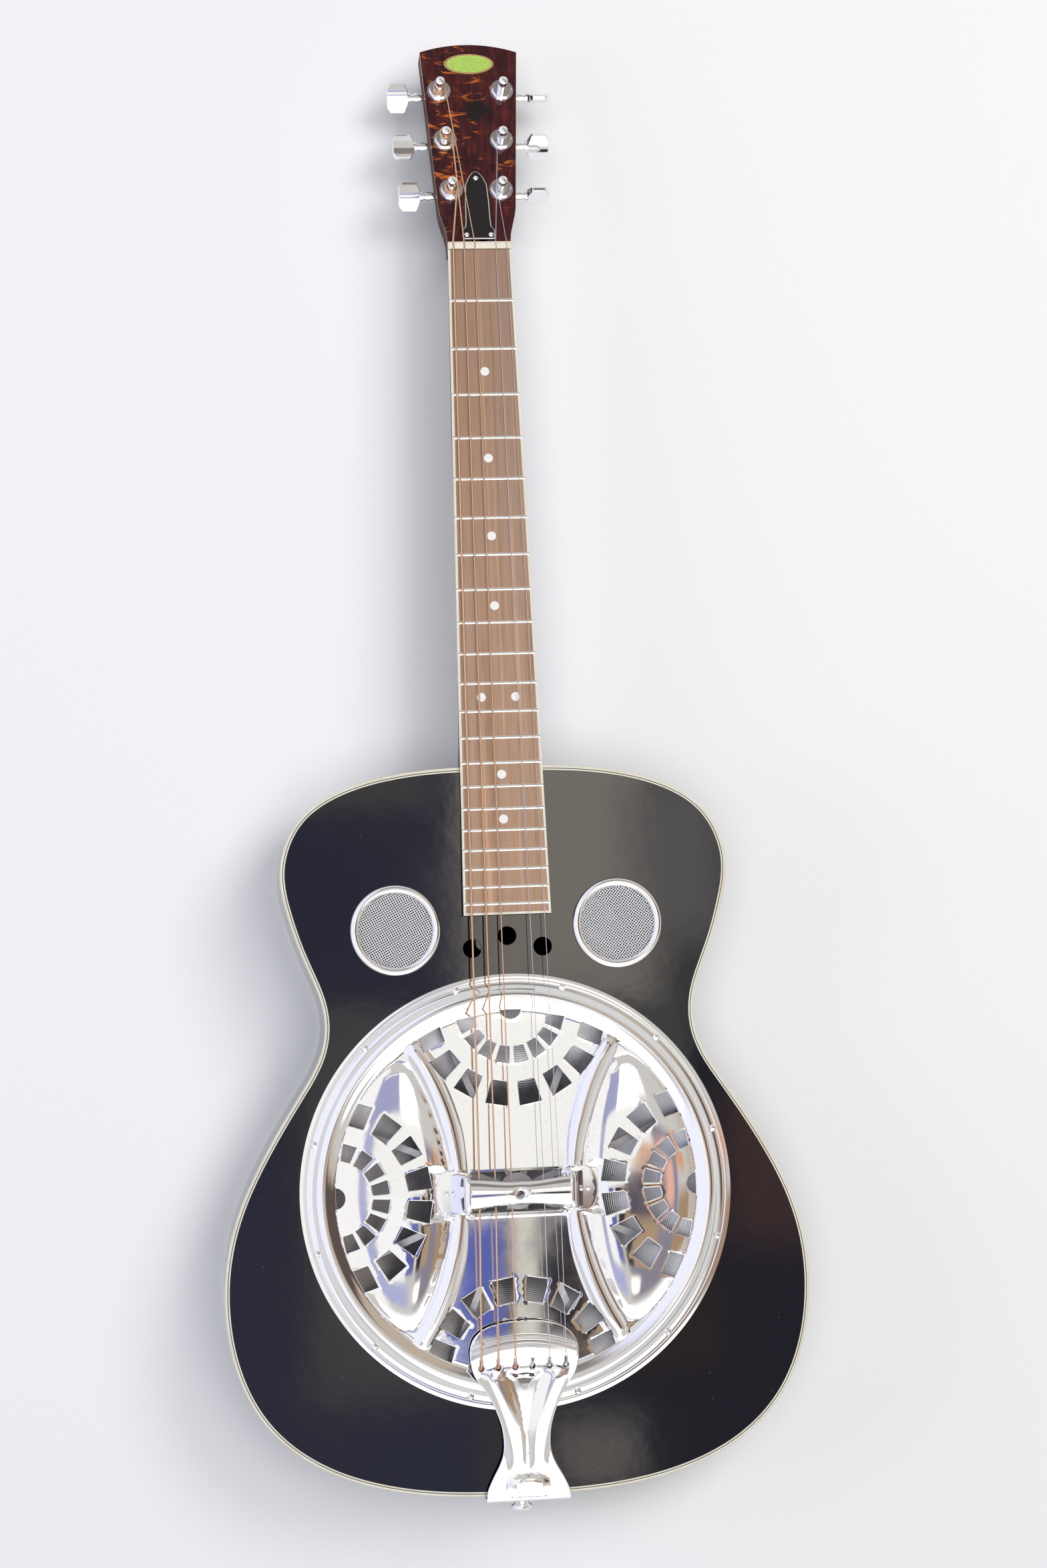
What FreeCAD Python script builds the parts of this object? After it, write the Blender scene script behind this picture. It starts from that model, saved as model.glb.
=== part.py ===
"""Resonator guitar, six-string, spider-bridge type, as an assembly of separate pieces.

Units are millimetres. Origin: on the back of the body, under the resonator axis.
+Y runs up the neck, +X is the treble side, +Z comes out of the top.
"""
import math
import os

import FreeCAD
import Part

V = FreeCAD.Vector

# ---------------------------------------------------------------- body box
BODY_DEPTH = 86.0
PLATE = 3.0                 # thickness of top and back
SIDE = 2.5                  # thickness of the bent sides
BINDING = 3.3               # width of the cream edge binding
LINING = 6.0                # width of the glue linings
LINING_H = 10.0
TOP_UNDER = BODY_DEPTH - PLATE

# half outline of the top plate inside the binding, from neck end to tail end
HALF_OUTLINE = [
    (0, 278), (45, 277), (80, 272.5), (108, 264), (132, 248), (143, 229), (146, 213),
    (142.5, 189), (132, 156.5), (122, 130.5), (119.5, 114), (123, 93), (139, 64.5),
    (163, 26), (181, -12), (189, -45.5), (190, -70), (184, -107.5), (168, -140.5),
    (136, -169), (97, -185), (50, -193), (0, -194.5),
]
NECK_END_Y = 278 + BINDING
TAIL_END_Y = -194.5 - BINDING
BOLT_HEIGHTS = (36.0, 62.0)

# ---------------------------------------------------------------- resonator
WELL_OUT = 141.0
WELL_OPEN = 134.2           # opening in the top and upper well
WELL_LEDGE = 126.0          # inner edge of the ledge under the cone rim
LEDGE_Z = 69.0
WELL_FOOT_Z = 56.0
CONE_R = 133.4              # 10 1/2 inch cone
CONE_T = 0.8
COVER_R = 142.8
COVER_T = 1.0
COVER_DISH_Z = BODY_DEPTH + 3.2
COVER_SCREWS = 12
COVER_SCREW_R = 137.0
FAN_OFFSET = 120.0          # centre of each fan of slots, from the axis
FAN_ANGLES = (10.3, 31.0, 51.5, 72.0)
RIDGE_NEAR = 37.5           # closest approach of the hourglass ridges to the centre line
RIDGE_RADIUS = 178.0
WINDOW = (29.5, -12.5, 13.0)    # half width, lower edge, upper edge of the bridge window

# ---------------------------------------------------------------- sound holes
SCREEN_X = 74.1
SCREEN_Y = 174.0
SCREEN_R = 30.05
SMALL_HOLE_R = 6.25
SMALL_HOLES = ((-23.5, 160.2), (0.0, 168.0), (23.5, 160.2))

# ---------------------------------------------------------------- neck
SCALE = 635.0               # 25 inch scale length
BOARD_SLOPE = math.degrees(math.atan(0.041))
BOARD_T = 4.5
NUT_WIDTH = 43.1
BOARD_END_WIDTH = 58.2
BOARD_LEN = 453.5
BOARD_EDGE = 1.5            # cream edge strip on the board
FRETS = 21
NUT_SURFACE_Z = BODY_DEPTH + BOARD_T + 0.05 - 0.041 * (SCALE - NECK_END_Y)
NUT_LEN = 5.2
MARKER_FRETS = (3, 5, 7, 9, 12, 15, 17)
MARKER_R = 3.0
NECK_DEPTH_NUT = 20.0
NECK_DEPTH_BODY = 23.5

# ---------------------------------------------------------------- headstock
HEAD_TILT = 11.34
HEAD_ORIGIN_Y = 641.0
HEAD_DROP = 1.5             # face of the headstock below the board surface at the nut
HEAD_VENEER = 2.0
HEAD_T = 16.0               # wood plus veneer
HEAD_CORNER = (33.7, 144.5)
HEAD_TOP = 150.2
HEAD_NECKING = [(21.45, -6), (21.6, 0), (22.2, 6), (23.6, 12), (25.3, 18.6), (26.5, 25.4)]

# ---------------------------------------------------------------- tuners
POST_FIRST = (17.2, 38.7)
POST_PITCH = 37.9
POST_LEAN = 0.0605          # the post rows run parallel to the headstock edges
POST_R = 3.0
POST_TOP = 15.5
PIVOT_R = 2.0
RUN = 0.05                  # radial running clearance
GEAR_TEETH = 14
MODULE = 0.5
WORM_PITCH_R = 1.6
GEAR_PITCH_R = MODULE * GEAR_TEETH / 2
WORM_OFFSET = GEAR_PITCH_R + WORM_PITCH_R
GEAR_Z = -19.2
SHAFT_R = 1.6
# rest angle of each button about its shaft, bass row then treble row, nut end first
BUTTON_ANGLES = {"k1": -22, "k2": 10, "k3": -30, "k4": 90, "k5": 63, "k6": 118}
GRIP_LENGTH = 15.2
GRIP_HALF_H = 10.2
GRIP_THICK = 6.6

# ---------------------------------------------------------------- strings
STRINGS = {
    # name: (x at nut, x at saddle, x at tailpiece, radius, tuner)
    "string_6_low_e": (-18.0, -26.5, -28.4, 0.66, "k1"),
    "string_5_a": (-10.6, -15.9, -17.2, 0.53, "k2"),
    "string_4_d": (-3.35, -5.3, -6.0, 0.42, "k3"),
    "string_2_b": (11.1, 15.9, 16.4, 0.24, "k5"),
    "string_1_high_e": (18.4, 26.5, 27.2, 0.2, "k4"),
}
NUT_RISE = 0.9
SADDLE_Z = BODY_DEPTH + 20.4
TAIL_SLOTS = (-28.4, -17.2, -6.0, 5.2, 16.4, 27.2)
TAIL_HOOK_Y = -113.5
TAIL_PLATE_Z = BODY_DEPTH + 9.0


# ================================================================ helpers
def box(x0, x1, y0, y1, z0, z1):
    return Part.makeBox(x1 - x0, y1 - y0, z1 - z0, V(x0, y0, z0))


def rod(radius, start, end):
    a = V(*start)
    b = V(*end)
    return Part.makeCylinder(radius, (b - a).Length, a, b - a)


def fuse(shapes):
    shapes = list(shapes)
    return shapes[0] if len(shapes) == 1 else shapes[0].fuse(shapes[1:])


def cut(shape, tools):
    return shape.cut(list(tools))


def polygon(points, z=0.0):
    pts = [V(x, y, z) for x, y in points]
    return Part.Face(Part.makePolygon(pts + [pts[0]]))


def mirror_x(points):
    return [(-x, y) for x, y in reversed(points)]


def spline(points):
    curve = Part.BSplineCurve()
    curve.interpolate([V(*p) for p in points])
    return curve.toShape()


def line(a, b):
    return Part.makeLine(V(*a), V(*b))


def neck_place():
    return FreeCAD.Placement(V(0, SCALE, NUT_SURFACE_Z), FreeCAD.Rotation(V(1, 0, 0), -BOARD_SLOPE))


def head_place():
    return FreeCAD.Placement(V(0, HEAD_ORIGIN_Y, NUT_SURFACE_Z - HEAD_DROP),
                             FreeCAD.Rotation(V(1, 0, 0), -HEAD_TILT))


def placed(shape, placement):
    out = shape.copy()
    out.Placement = placement.multiply(out.Placement)
    return out


def on_neck(shape):
    return placed(shape, neck_place())


def on_head(shape):
    return placed(shape, head_place())


def head_point(x, along, height):
    return head_place().multVec(V(x, along, height))


def neck_point(x, along, height):
    return neck_place().multVec(V(x, along, height))


def ring_around(shape_fn, count, start=0.0):
    step = 360.0 / count
    out = []
    for i in range(count):
        item = shape_fn()
        item.rotate(V(0, 0, 0), V(0, 0, 1), start + i * step)
        out.append(item)
    return out


def revolve(face, centre=(0, 0)):
    return face.revolve(V(centre[0], centre[1], 0), V(0, 0, 1), 360)


def profile_face(points, centre=(0, 0)):
    """Closed polygon of (radius, z) pairs standing in the XZ plane."""
    pts = [V(centre[0] + r, centre[1], z) for r, z in points]
    return Part.Face(Part.makePolygon(pts + [pts[0]]))


def slot_screw(x, y, z_seat, head_r, head_h, shank_r, depth):
    """Round-headed screw standing on z_seat, with a slot across the head."""
    head = Part.makeSphere(head_r * 1.25, V(x, y, z_seat + head_h - head_r * 1.25))
    head = head.common(Part.makeCylinder(head_r, head_h, V(x, y, z_seat)))
    shank = Part.makeCylinder(shank_r, depth, V(x, y, z_seat - depth))
    slot = box(x - head_r, x + head_r, y - 0.3, y + 0.3, z_seat + head_h * 0.5, z_seat + head_h + 1)
    return head.fuse(shank).cut(slot)


# ================================================================ body
def base_curve():
    mirrored = [(-x, y) for x, y in reversed(HALF_OUTLINE[1:-1])]
    curve = Part.BSplineCurve()
    curve.interpolate([V(x, y, 0) for x, y in HALF_OUTLINE + mirrored], PeriodicFlag=True)
    return curve


BASE = base_curve()
OUTLINE_SAMPLES = 110


def outline_face(grow, z):
    """Flat face bounded by the top plate edge moved outward by grow."""
    first, last = BASE.FirstParameter, BASE.LastParameter
    pts = []
    for i in range(OUTLINE_SAMPLES):
        t = first + (last - first) * i / OUTLINE_SAMPLES
        p = BASE.value(t)
        tangent = BASE.tangent(t)[0]
        normal = V(-tangent.y, tangent.x, 0)
        normal.normalize()
        if normal.dot(p) < 0 and abs(p.y) > 150 or normal.x * p.x < 0 and abs(p.x) > 60:
            normal = normal * -1
        pts.append(V(p.x + normal.x * grow, p.y + normal.y * grow, z))
    curve = Part.BSplineCurve()
    curve.interpolate(pts, PeriodicFlag=True)
    return Part.Face(Part.Wire([curve.toShape()]))


def prism(grow, z0, z1):
    return outline_face(grow, z0).extrude(V(0, 0, z1 - z0))


def body_nodes():
    outer = BINDING
    inside = BINDING - SIDE
    nodes = {}
    opening = Part.makeCylinder(WELL_OPEN, 10, V(0, 0, TOP_UNDER - 1))
    screen_holes = [Part.makeCylinder(27.0, 10, V(s * SCREEN_X, SCREEN_Y, TOP_UNDER - 1)) for s in (-1, 1)]
    small = [Part.makeCylinder(SMALL_HOLE_R, 10, V(x, y, TOP_UNDER - 1)) for x, y in SMALL_HOLES]
    nodes["body_top"] = cut(prism(0, TOP_UNDER, BODY_DEPTH),
                            [opening] + screen_holes + small + cover_screw_holes())
    nodes["body_back"] = prism(0, 0, PLATE)
    rim = prism(outer, 0, BODY_DEPTH)
    band = rim.cut(prism(0, -1, BODY_DEPTH + 1))
    nodes["body_binding"] = Part.makeCompound([
        band.common(box(-300, 300, -300, 400, 0, PLATE)),
        band.common(box(-300, 300, -300, 400, TOP_UNDER, BODY_DEPTH))])
    shell = prism(outer, PLATE, TOP_UNDER).cut(prism(inside, 0, BODY_DEPTH))
    nodes["body_sides"] = cut(shell, bolt_holes() + tail_holes())

    block_n = box(-34, 34, NECK_END_Y - 40, NECK_END_Y + 5, PLATE, TOP_UNDER)
    block_t = box(-40, 40, TAIL_END_Y - 5, TAIL_END_Y + 22, PLATE, TOP_UNDER)
    room = prism(inside, PLATE, TOP_UNDER)
    nodes["neck_block"] = cut(block_n.common(room), bolt_holes())
    nodes["tail_block"] = cut(block_t.common(room), tail_holes())
    strip = prism(inside, PLATE, TOP_UNDER).cut(prism(inside - LINING, 0, BODY_DEPTH))
    strip = strip.cut([block_n, block_t])
    nodes["linings"] = Part.makeCompound([
        strip.common(box(-300, 300, -300, 400, PLATE, PLATE + LINING_H)),
        strip.common(box(-300, 300, -300, 400, TOP_UNDER - LINING_H, TOP_UNDER))])
    free = prism(inside - LINING, PLATE, TOP_UNDER)
    bars = []
    for y, z0, z1 in ((-120, PLATE, PLATE + 12), (0, PLATE, PLATE + 12), (120, PLATE, PLATE + 12),
                      (222, TOP_UNDER - 9, TOP_UNDER)):
        bars.append(box(-200, 200, y - 3.5, y + 3.5, z0, z1).common(free))
    nodes["braces"] = Part.makeCompound(bars)
    return nodes


def bolt_holes():
    return [rod(3.0, (0, NECK_END_Y - 60, z), (0, NECK_END_Y + 10, z)) for z in BOLT_HEIGHTS]


def tail_holes():
    return [rod(2.5, (0, TAIL_END_Y - 6, 43), (0, TAIL_END_Y + 15, 43))] + [
        rod(1.6, (x, TAIL_END_Y - 6, 62), (x, TAIL_END_Y + 15, 62)) for x in (-15, 15)]


def neck_bolts():
    out = []
    for z in BOLT_HEIGHTS:
        inner = NECK_END_Y - 40
        head = Part.makeCylinder(6.0, 6.0, V(0, inner - 6, z), V(0, 1, 0))
        out.append(head.fuse(rod(3.0, (0, inner, z), (0, NECK_END_Y + 10, z))))
    return Part.makeCompound(out)


# ================================================================ resonator
def soundwell():
    ring = Part.makeCylinder(WELL_OUT, TOP_UNDER - WELL_FOOT_Z, V(0, 0, WELL_FOOT_Z))
    ring = cut(ring, [Part.makeCylinder(WELL_LEDGE, 60, V(0, 0, WELL_FOOT_Z - 5)),
                      Part.makeCylinder(WELL_OPEN, 60, V(0, 0, LEDGE_Z))])
    return cut(ring, cover_screw_holes())


def cone():
    top = [(CONE_R, LEDGE_Z + CONE_T), (126.2, LEDGE_Z + CONE_T), (123.4, LEDGE_Z - 1.2),
           (52, 50.5), (46, 49.6), (40, 50.5), (9, 60), (0.01, 60)]
    low = [(r, z - CONE_T) for r, z in top]
    low[1] = (125.9, LEDGE_Z)
    return revolve(profile_face(top + low[::-1]))


def spider():
    foot_z = LEDGE_Z + CONE_T
    side = [(8, 80.5), (60, 80.0), (118, 72.5), (127.6, foot_z + 0.0), (132.4, foot_z),
            (132.4, foot_z + 3), (122, 77.0), (60, 85.2), (8, 86)]

    def leg():
        face = Part.Face(Part.makePolygon([V(r, -2.2, z) for r, z in side + [side[0]]]))
        return face.extrude(V(0, 4.4, 0))
    hub = Part.makeCylinder(12, 11, V(0, 0, 79))
    seat = box(-28.5, 28.5, -5, 5, 84, 93.5)
    slot = box(-30, 30, -2, 2, 88, 95)
    bore = Part.makeCylinder(2.0 + RUN, 40, V(0, 0, 70))
    return cut(fuse([hub, seat] + ring_around(leg, 8, 22.5)), [slot, bore])


def saddles():
    out = []
    for side in (-1, 1):
        x0, x1 = sorted((side * 3.2, side * 28.2))
        out.append(box(x0, x1, -2, 2, 88, SADDLE_Z + 0.3))
    blank = Part.makeCompound(out)
    return cut(blank, [string_path(n, 0.03) for n in STRINGS])


def spider_screw():
    head = Part.makeCylinder(2.9, 3, V(0, 0, 89.0))
    recess = box(-3, 3, -0.4, 0.4, 90.8, 93)
    shank = Part.makeCylinder(2.0, 89.0 - 60.3, V(0, 0, 60.3))
    return head.fuse(shank).cut(recess)


def spider_screw_bore():
    return Part.makeCylinder(3.2, 6, V(0, 0, 88.7))


def cover_screw_places():
    out = []
    for i in range(COVER_SCREWS):
        a = math.radians(15 + 360.0 / COVER_SCREWS * i)
        out.append((COVER_SCREW_R * math.cos(a), COVER_SCREW_R * math.sin(a)))
    return out


def cover_screw_holes():
    return [Part.makeCylinder(1.3, 20, V(x, y, BODY_DEPTH - 15)) for x, y in cover_screw_places()]


def slot_tool(near, far, half_near, half_far):
    face = polygon([(near, -half_near), (far, -half_far), (far, half_far), (near, half_near)], 70)
    return face.extrude(V(0, 0, 40))


def fan_tools():
    """Slots of one fan, opening toward the axis from its centre at +FAN_OFFSET on X."""
    tools = []
    half = Part.makeCylinder(7.0, 40, V(0, 0, 70)).common(box(-8, 0, -8, 8, 70, 110))
    half.rotate(V(0, 0, 0), V(0, 0, 1), 180)
    tools.append(half)
    for a in FAN_ANGLES:
        for sign in (-1, 1):
            for near, far, h0, h1 in ((25, 36, 3.2, 4.6), (48.2, 63.8, 5.6, 7.4)):
                t = slot_tool(near, far, h0, h1)
                t.rotate(V(0, 0, 0), V(0, 0, 1), sign * a)
                tools.append(t)
    for t in tools:
        t.rotate(V(0, 0, 0), V(0, 0, 1), 180)
        t.translate(V(FAN_OFFSET, 0, 0))
    return tools


def rest_landing(side):
    """Flat left in each ridge for a foot of the bridge cover."""
    xa, xb = sorted((side * 29.0, side * 52.5))
    return box(xa, xb, -12.5, 12.5, COVER_DISH_Z, COVER_DISH_Z + 20)


def coverplate():
    z = BODY_DEPTH
    edge = [(COVER_R, z + 0.35), (COVER_R - 0.5, z + 1.0)]
    flange = (134.4, z + 1.0)
    bead = [(134.4, z + 1.0), (133.0, z + 2.4), (131.4, z + 5.0), (128.8, z + 6.1), (125.8, z + 5.6),
            (122.6, z + 4.1), (118.6, z + 3.2)]

    def curve(points, drop):
        pts = [V(r, 0, h - drop) for r, h in points]
        c = Part.BSplineCurve()
        c.interpolate(pts, InitialTangent=V(-1, 0, 0), FinalTangent=V(-1, 0, 0))
        return c.toShape()
    top = [line((edge[0][0], 0, edge[0][1]), (edge[1][0], 0, edge[1][1])),
           line((edge[1][0], 0, edge[1][1]), (flange[0], 0, flange[1])),
           curve(bead, 0),
           line((118.6, 0, z + 3.2), (0, 0, z + 3.2)),
           line((0, 0, z + 3.2), (0, 0, z + 2.2)),
           line((0, 0, z + 2.2), (118.6, 0, z + 2.2)),
           curve([(r, h) for r, h in bead], COVER_T),
           line((134.4, 0, z), (COVER_R, 0, z)),
           line((COVER_R, 0, z), (COVER_R, 0, z + 0.35))]
    plate = revolve(Part.Face(Part.Wire(Part.__sortEdges__(top))))
    for side in (-1, 1):
        centre = V(side * (RIDGE_NEAR + RIDGE_RADIUS), 0, COVER_DISH_Z - 4.0)
        core = Part.makeTorus(RIDGE_RADIUS, 7.6, centre)
        hollow = Part.makeTorus(RIDGE_RADIUS, 6.6, centre)
        limit = Part.makeCylinder(121.5, 20, V(0, 0, COVER_DISH_Z - COVER_T))
        bar = core.common(limit).cut(rest_landing(side))
        plate = plate.fuse(bar).cut(hollow.common(Part.makeCylinder(119, 22, V(0, 0, COVER_DISH_Z - 12))))
    lip = box(-47, 47, WINDOW[1] - 4.2, WINDOW[1], COVER_DISH_Z - COVER_T, COVER_DISH_Z + 2.2)
    lip = lip.makeFillet(1.2, [e for e in lip.Edges if e.BoundBox.ZMin > COVER_DISH_Z + 2])
    plate = plate.fuse(lip)
    window = box(-WINDOW[0], WINDOW[0], WINDOW[1], WINDOW[2], 70, 120)
    tools = [window]
    fan = fan_tools()
    for k in range(4):
        for t in fan:
            c = t.copy()
            c.rotate(V(0, 0, 0), V(0, 0, 1), 90 * k)
            tools.append(c)
    tools += cover_screw_holes()
    tools += [Part.makeCylinder(1.1, 20, V(x, y, 80)) for x, y in REST_SCREWS]
    plate = plate.cut(Part.makeCompound(tools))
    solids = sorted(plate.Solids, key=lambda s: -s.Volume)
    return solids[0]


REST_SCREWS = ((-47.0, 0.0), (47.0, 0.0), (-31.7, -9.6), (31.7, -9.6))
REST_TOP = BODY_DEPTH + 27.5
REST_UNDER = BODY_DEPTH + 23.6


def palm_rest():
    """Arched bar over the saddles standing on two screwed feet."""
    seat = COVER_DISH_Z
    bar_outline = [(-41.5, -9.5), (-33, -9.5), (-20, -8.2), (0, -7.6), (20, -8.2), (33, -9.5), (41.5, -9.5)]
    lower = spline([(x, y, REST_UNDER) for x, y in bar_outline])
    upper = spline([(x, -y, REST_UNDER) for x, y in bar_outline])
    ends = [line((s * 41.5, -9.5, REST_UNDER), (s * 41.5, 9.5, REST_UNDER)) for s in (-1, 1)]
    outline = Part.Wire(Part.__sortEdges__([lower, upper] + ends))
    bar = Part.Face(outline).extrude(V(0, 0, REST_TOP - REST_UNDER))
    parts = [bar]
    for s in (-1, 1):
        x0, x1 = sorted((s * 33.5, s * 41.5))
        leg = box(x0, x1, -10.5, 10.5, seat, REST_TOP + 0.6)
        leg = leg.makeFillet(1.5, [e for e in leg.Edges if e.BoundBox.ZMin > seat + 1
                                   or e.BoundBox.ZLength > 5])
        xa, xb = sorted((s * 30.2, s * 45.5))
        foot = box(xa, xb, -11.5, 11.5, seat, seat + 1.4)
        ear = Part.makeCylinder(7.5, 1.4, V(s * 44.0, 0, seat))
        parts += [leg, foot, ear]
    body = fuse(parts)
    hole = Part.makeCylinder(2.5, 30, V(0, -1, REST_UNDER - 5))
    dimple = Part.makeCone(2.5, 4.2, 1.2, V(0, -1, REST_TOP - 1.2))
    hollow = [box(*sorted((s * 35.4, s * 39.8)), -8.2, 8.2, seat - 1, REST_TOP - 2.5) for s in (-1, 1)]
    holes = [Part.makeCylinder(1.1, 20, V(x, y, 80)) for x, y in REST_SCREWS]
    return cut(body, [hole, dimple] + hollow + holes).removeSplitter()


def cover_screws():
    out = [slot_screw(x, y, BODY_DEPTH + 1.0, 2.4, 1.7, 1.3, 13) for x, y in cover_screw_places()]
    out += [slot_screw(x, y, COVER_DISH_Z + 1.4, 2.0 if abs(x) > 40 else 1.3, 1.2, 1.1, 3.4)
            for x, y in REST_SCREWS]
    return Part.makeCompound(out)


# ================================================================ sound holes
def screen_rings():
    out = []
    z = BODY_DEPTH
    for s in (-1, 1):
        c = (s * SCREEN_X, SCREEN_Y)
        crown = [(SCREEN_R, z), (SCREEN_R - 0.1, z + 0.8),
                 (SCREEN_R - 1.2, z + 2.0), (SCREEN_R - 3.0, z + 2.4),
                 (SCREEN_R - 4.6, z + 1.7), (SCREEN_R - 5.4, z + 0.2), (SCREEN_R - 5.5, z - 2.0),
                 (SCREEN_R - 3.3, z - 2.0), (SCREEN_R - 3.3, z)]
        out.append(revolve(profile_face(crown, c), c))
    return Part.makeCompound(out)


def screens():
    z = BODY_DEPTH
    return Part.makeCompound([Part.makeCylinder(26.8, 0.8, V(s * SCREEN_X, SCREEN_Y, z - 2.8))
                              for s in (-1, 1)])


# ================================================================ tailpiece
def tail_outline():
    right = [(0, -83.8), (12, -84.2), (24, -87.2), (31.5, -93), (35, -101), (34.6, -110), (32.2, -119),
             (26, -128), (19.5, -138), (15.2, -150), (13.9, -158), (15.0, -170), (19.2, -184), (25.6, -195),
             (27.5, -201)]
    return right


def tail_height(y):
    """Underside of the tailpiece sheet above the top plate, from holder to the bent end."""
    run = min(max((-85 - y) / 116.0, 0.0), 1.0)
    return 8.2 - 4.6 * run * run


def tailpiece():
    right = tail_outline()
    left = [(-x, y) for x, y in reversed(right[1:])]
    curve = Part.BSplineCurve()
    curve.interpolate([V(x, y, 70) for x, y in left + right])
    edge = curve.toShape()
    base = line((right[-1][0], right[-1][1], 70), (-right[-1][0], right[-1][1], 70))
    blank = Part.Face(Part.Wire([edge, base])).extrude(V(0, 0, 60))
    ys = [-78, -95, -112, -130, -150, -170, -188, -201.4]
    upper = [(y, BODY_DEPTH + tail_height(y) + 1.8) for y in ys]
    lower = [(y, BODY_DEPTH + tail_height(y)) for y in ys]
    up = spline([(-60, y, z) for y, z in upper])
    lo = spline([(-60, y, z) for y, z in lower])
    caps = [line((-60, upper[i][0], upper[i][1]), (-60, lower[i][0], lower[i][1])) for i in (0, -1)]
    sheet = Part.Face(Part.Wire(Part.__sortEdges__([up, lo] + caps))).extrude(V(120, 0, 0))
    plate = blank.common(sheet)
    tail_z = BODY_DEPTH + tail_height(-201)
    leg = box(-27.4, 27.4, -201.0, -198.9, 28, tail_z + 1.7)
    leg = leg.makeFillet(5, [e for e in leg.Edges if e.BoundBox.YLength > 1.5 and e.BoundBox.ZMax < 30
                             and e.BoundBox.XLength < 0.1])
    steps = []
    for k, (r, h) in enumerate(((66.0, 0.3), (61.5, 0.7), (57.0, 1.1))):
        band = Part.makeCylinder(r, 10, V(0, -150.5, BODY_DEPTH + 8.6))
        steps.append((r, h, band))
    crown = []
    for r, h, band in steps:
        z0 = BODY_DEPTH + 8.4
        lift = blank.common(Part.makeCylinder(r, 1.5 + h, V(0, -150.5, z0)))
        lift = lift.common(box(-60, 60, -108.5, -80, z0, z0 + 6))
        crown.append(lift)
    body = fuse([plate, leg] + crown)
    v_hole = polygon([(-7.2, -117.0), (0, -127.2), (7.2, -117.0), (3.4, -114.6), (-3.4, -114.6)], 70)
    tools = [v_hole.extrude(V(0, 0, 50))]
    for x in TAIL_SLOTS:
        tools.append(Part.makeCylinder(1.9, 40, V(x, TAIL_HOOK_Y, 75)))
        tools.append(box(x - 0.8, x + 0.8, TAIL_HOOK_Y, TAIL_HOOK_Y + 5.2, 75, 115))
    tools += tail_holes()
    return cut(body, tools)


def tail_screws():
    out = []
    for x in (-15, 15):
        head = Part.makeCone(3.2, 2.2, 1.6, V(x, -201.0, 62), V(0, -1, 0))
        out.append(head.fuse(rod(1.6, (x, -201.0, 62), (x, TAIL_END_Y + 14, 62))))
    return Part.makeCompound(out)


def strap_button():
    pts = [(0, 0), (7.5, 0), (7.0, 1.5), (4.2, 3.6), (3.8, 6.5),
           (5.2, 8.8), (7.2, 10.0), (7.2, 11.6), (5.5, 12.8), (0, 13)]
    face = Part.Face(Part.makePolygon([V(r, 0, h) for r, h in pts + [pts[0]]]))
    knob = face.revolve(V(0, 0, 0), V(0, 0, 1), 360)
    knob.rotate(V(0, 0, 0), V(1, 0, 0), 90)
    knob.translate(V(0, -201.0, 43))
    return knob.fuse(rod(2.5, (0, -201.0, 43), (0, TAIL_END_Y + 14, 43)))


# ================================================================ neck
def board_half(along):
    """Half width of the bound board at a distance below the nut."""
    return (NUT_WIDTH + (BOARD_END_WIDTH - NUT_WIDTH) * along / BOARD_LEN) / 2


def fret_at(n):
    return SCALE * (1 - 2 ** (-n / 12.0))


def d_section(along, half, depth, power):
    """Closed neck section below the board at a station along the neck."""
    low = depth - BOARD_T
    pts = []
    for i in range(13):
        t = math.pi * i / 12
        c = math.cos(t)
        x = math.copysign(abs(c) ** power, c) * half
        pts.append((x, along, -BOARD_T - low * math.sin(t) ** 0.85))
    under = spline(pts)
    return Part.Wire([under, line(pts[-1], pts[0])])


def neck_wood():
    shaft = []
    for along, depth in ((34, 19.0), (6, 19.6), (-40, 20.4), (-150, 21.8), (-300, NECK_DEPTH_BODY)):
        shaft.append(d_section(along, board_half(max(-along, 0)), depth, 0.8))
    heel = []
    for along, depth, power in ((-300, NECK_DEPTH_BODY, 0.8), (-314, 26.5, 0.84), (-326, 37, 0.92),
                                (-335, 52, 1.0), (-343, 67, 1.08), (-352, 77, 1.15), (-366, 81, 1.2)):
        heel.append(d_section(along, board_half(-along), depth, power))
    stick = Part.makeLoft(shaft, True, False)
    foot = Part.makeLoft(heel, True, False)
    slab = head_outline(HEAD_T - HEAD_VENEER, -HEAD_T)
    wood = on_neck(stick).fuse([on_neck(foot), on_head(slab)])
    tools = [on_neck(box(-60, 60, -400, NUT_LEN, -BOARD_T, 30)),
             on_head(box(-60, 60, -3, 200, -HEAD_VENEER, 30)),
             prism(BINDING, -1, BODY_DEPTH),
             box(-60, 60, 100, NECK_END_Y - 0.5, BODY_DEPTH - 1, 120)]
    tools += truss_channel()
    tools += [on_head(Part.makeCylinder(5.0, 40, V(x, a, -30))) for x, a in post_places().values()]
    tools += bolt_holes()
    wood = cut(wood, tools)
    return sorted(wood.Solids, key=lambda s: -s.Volume)[0]


def truss_channel():
    rod_room = box(-3.1, 3.1, -340, 6, -BOARD_T - 6.2, -BOARD_T + 1)
    pocket = box(-5.2, 5.2, 5.3, 27, -BOARD_T - 9, 10)
    return [on_neck(rod_room), on_neck(pocket)]


def truss_rod():
    strip = rod(3.0, (0, -339, -BOARD_T - 3.1), (0, 5.5, -BOARD_T - 3.1))
    thread = rod(2.4, (0, 5.5, -BOARD_T - 3.1), (0, 19, -BOARD_T - 3.1))
    return on_neck(strip.fuse(thread))


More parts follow.
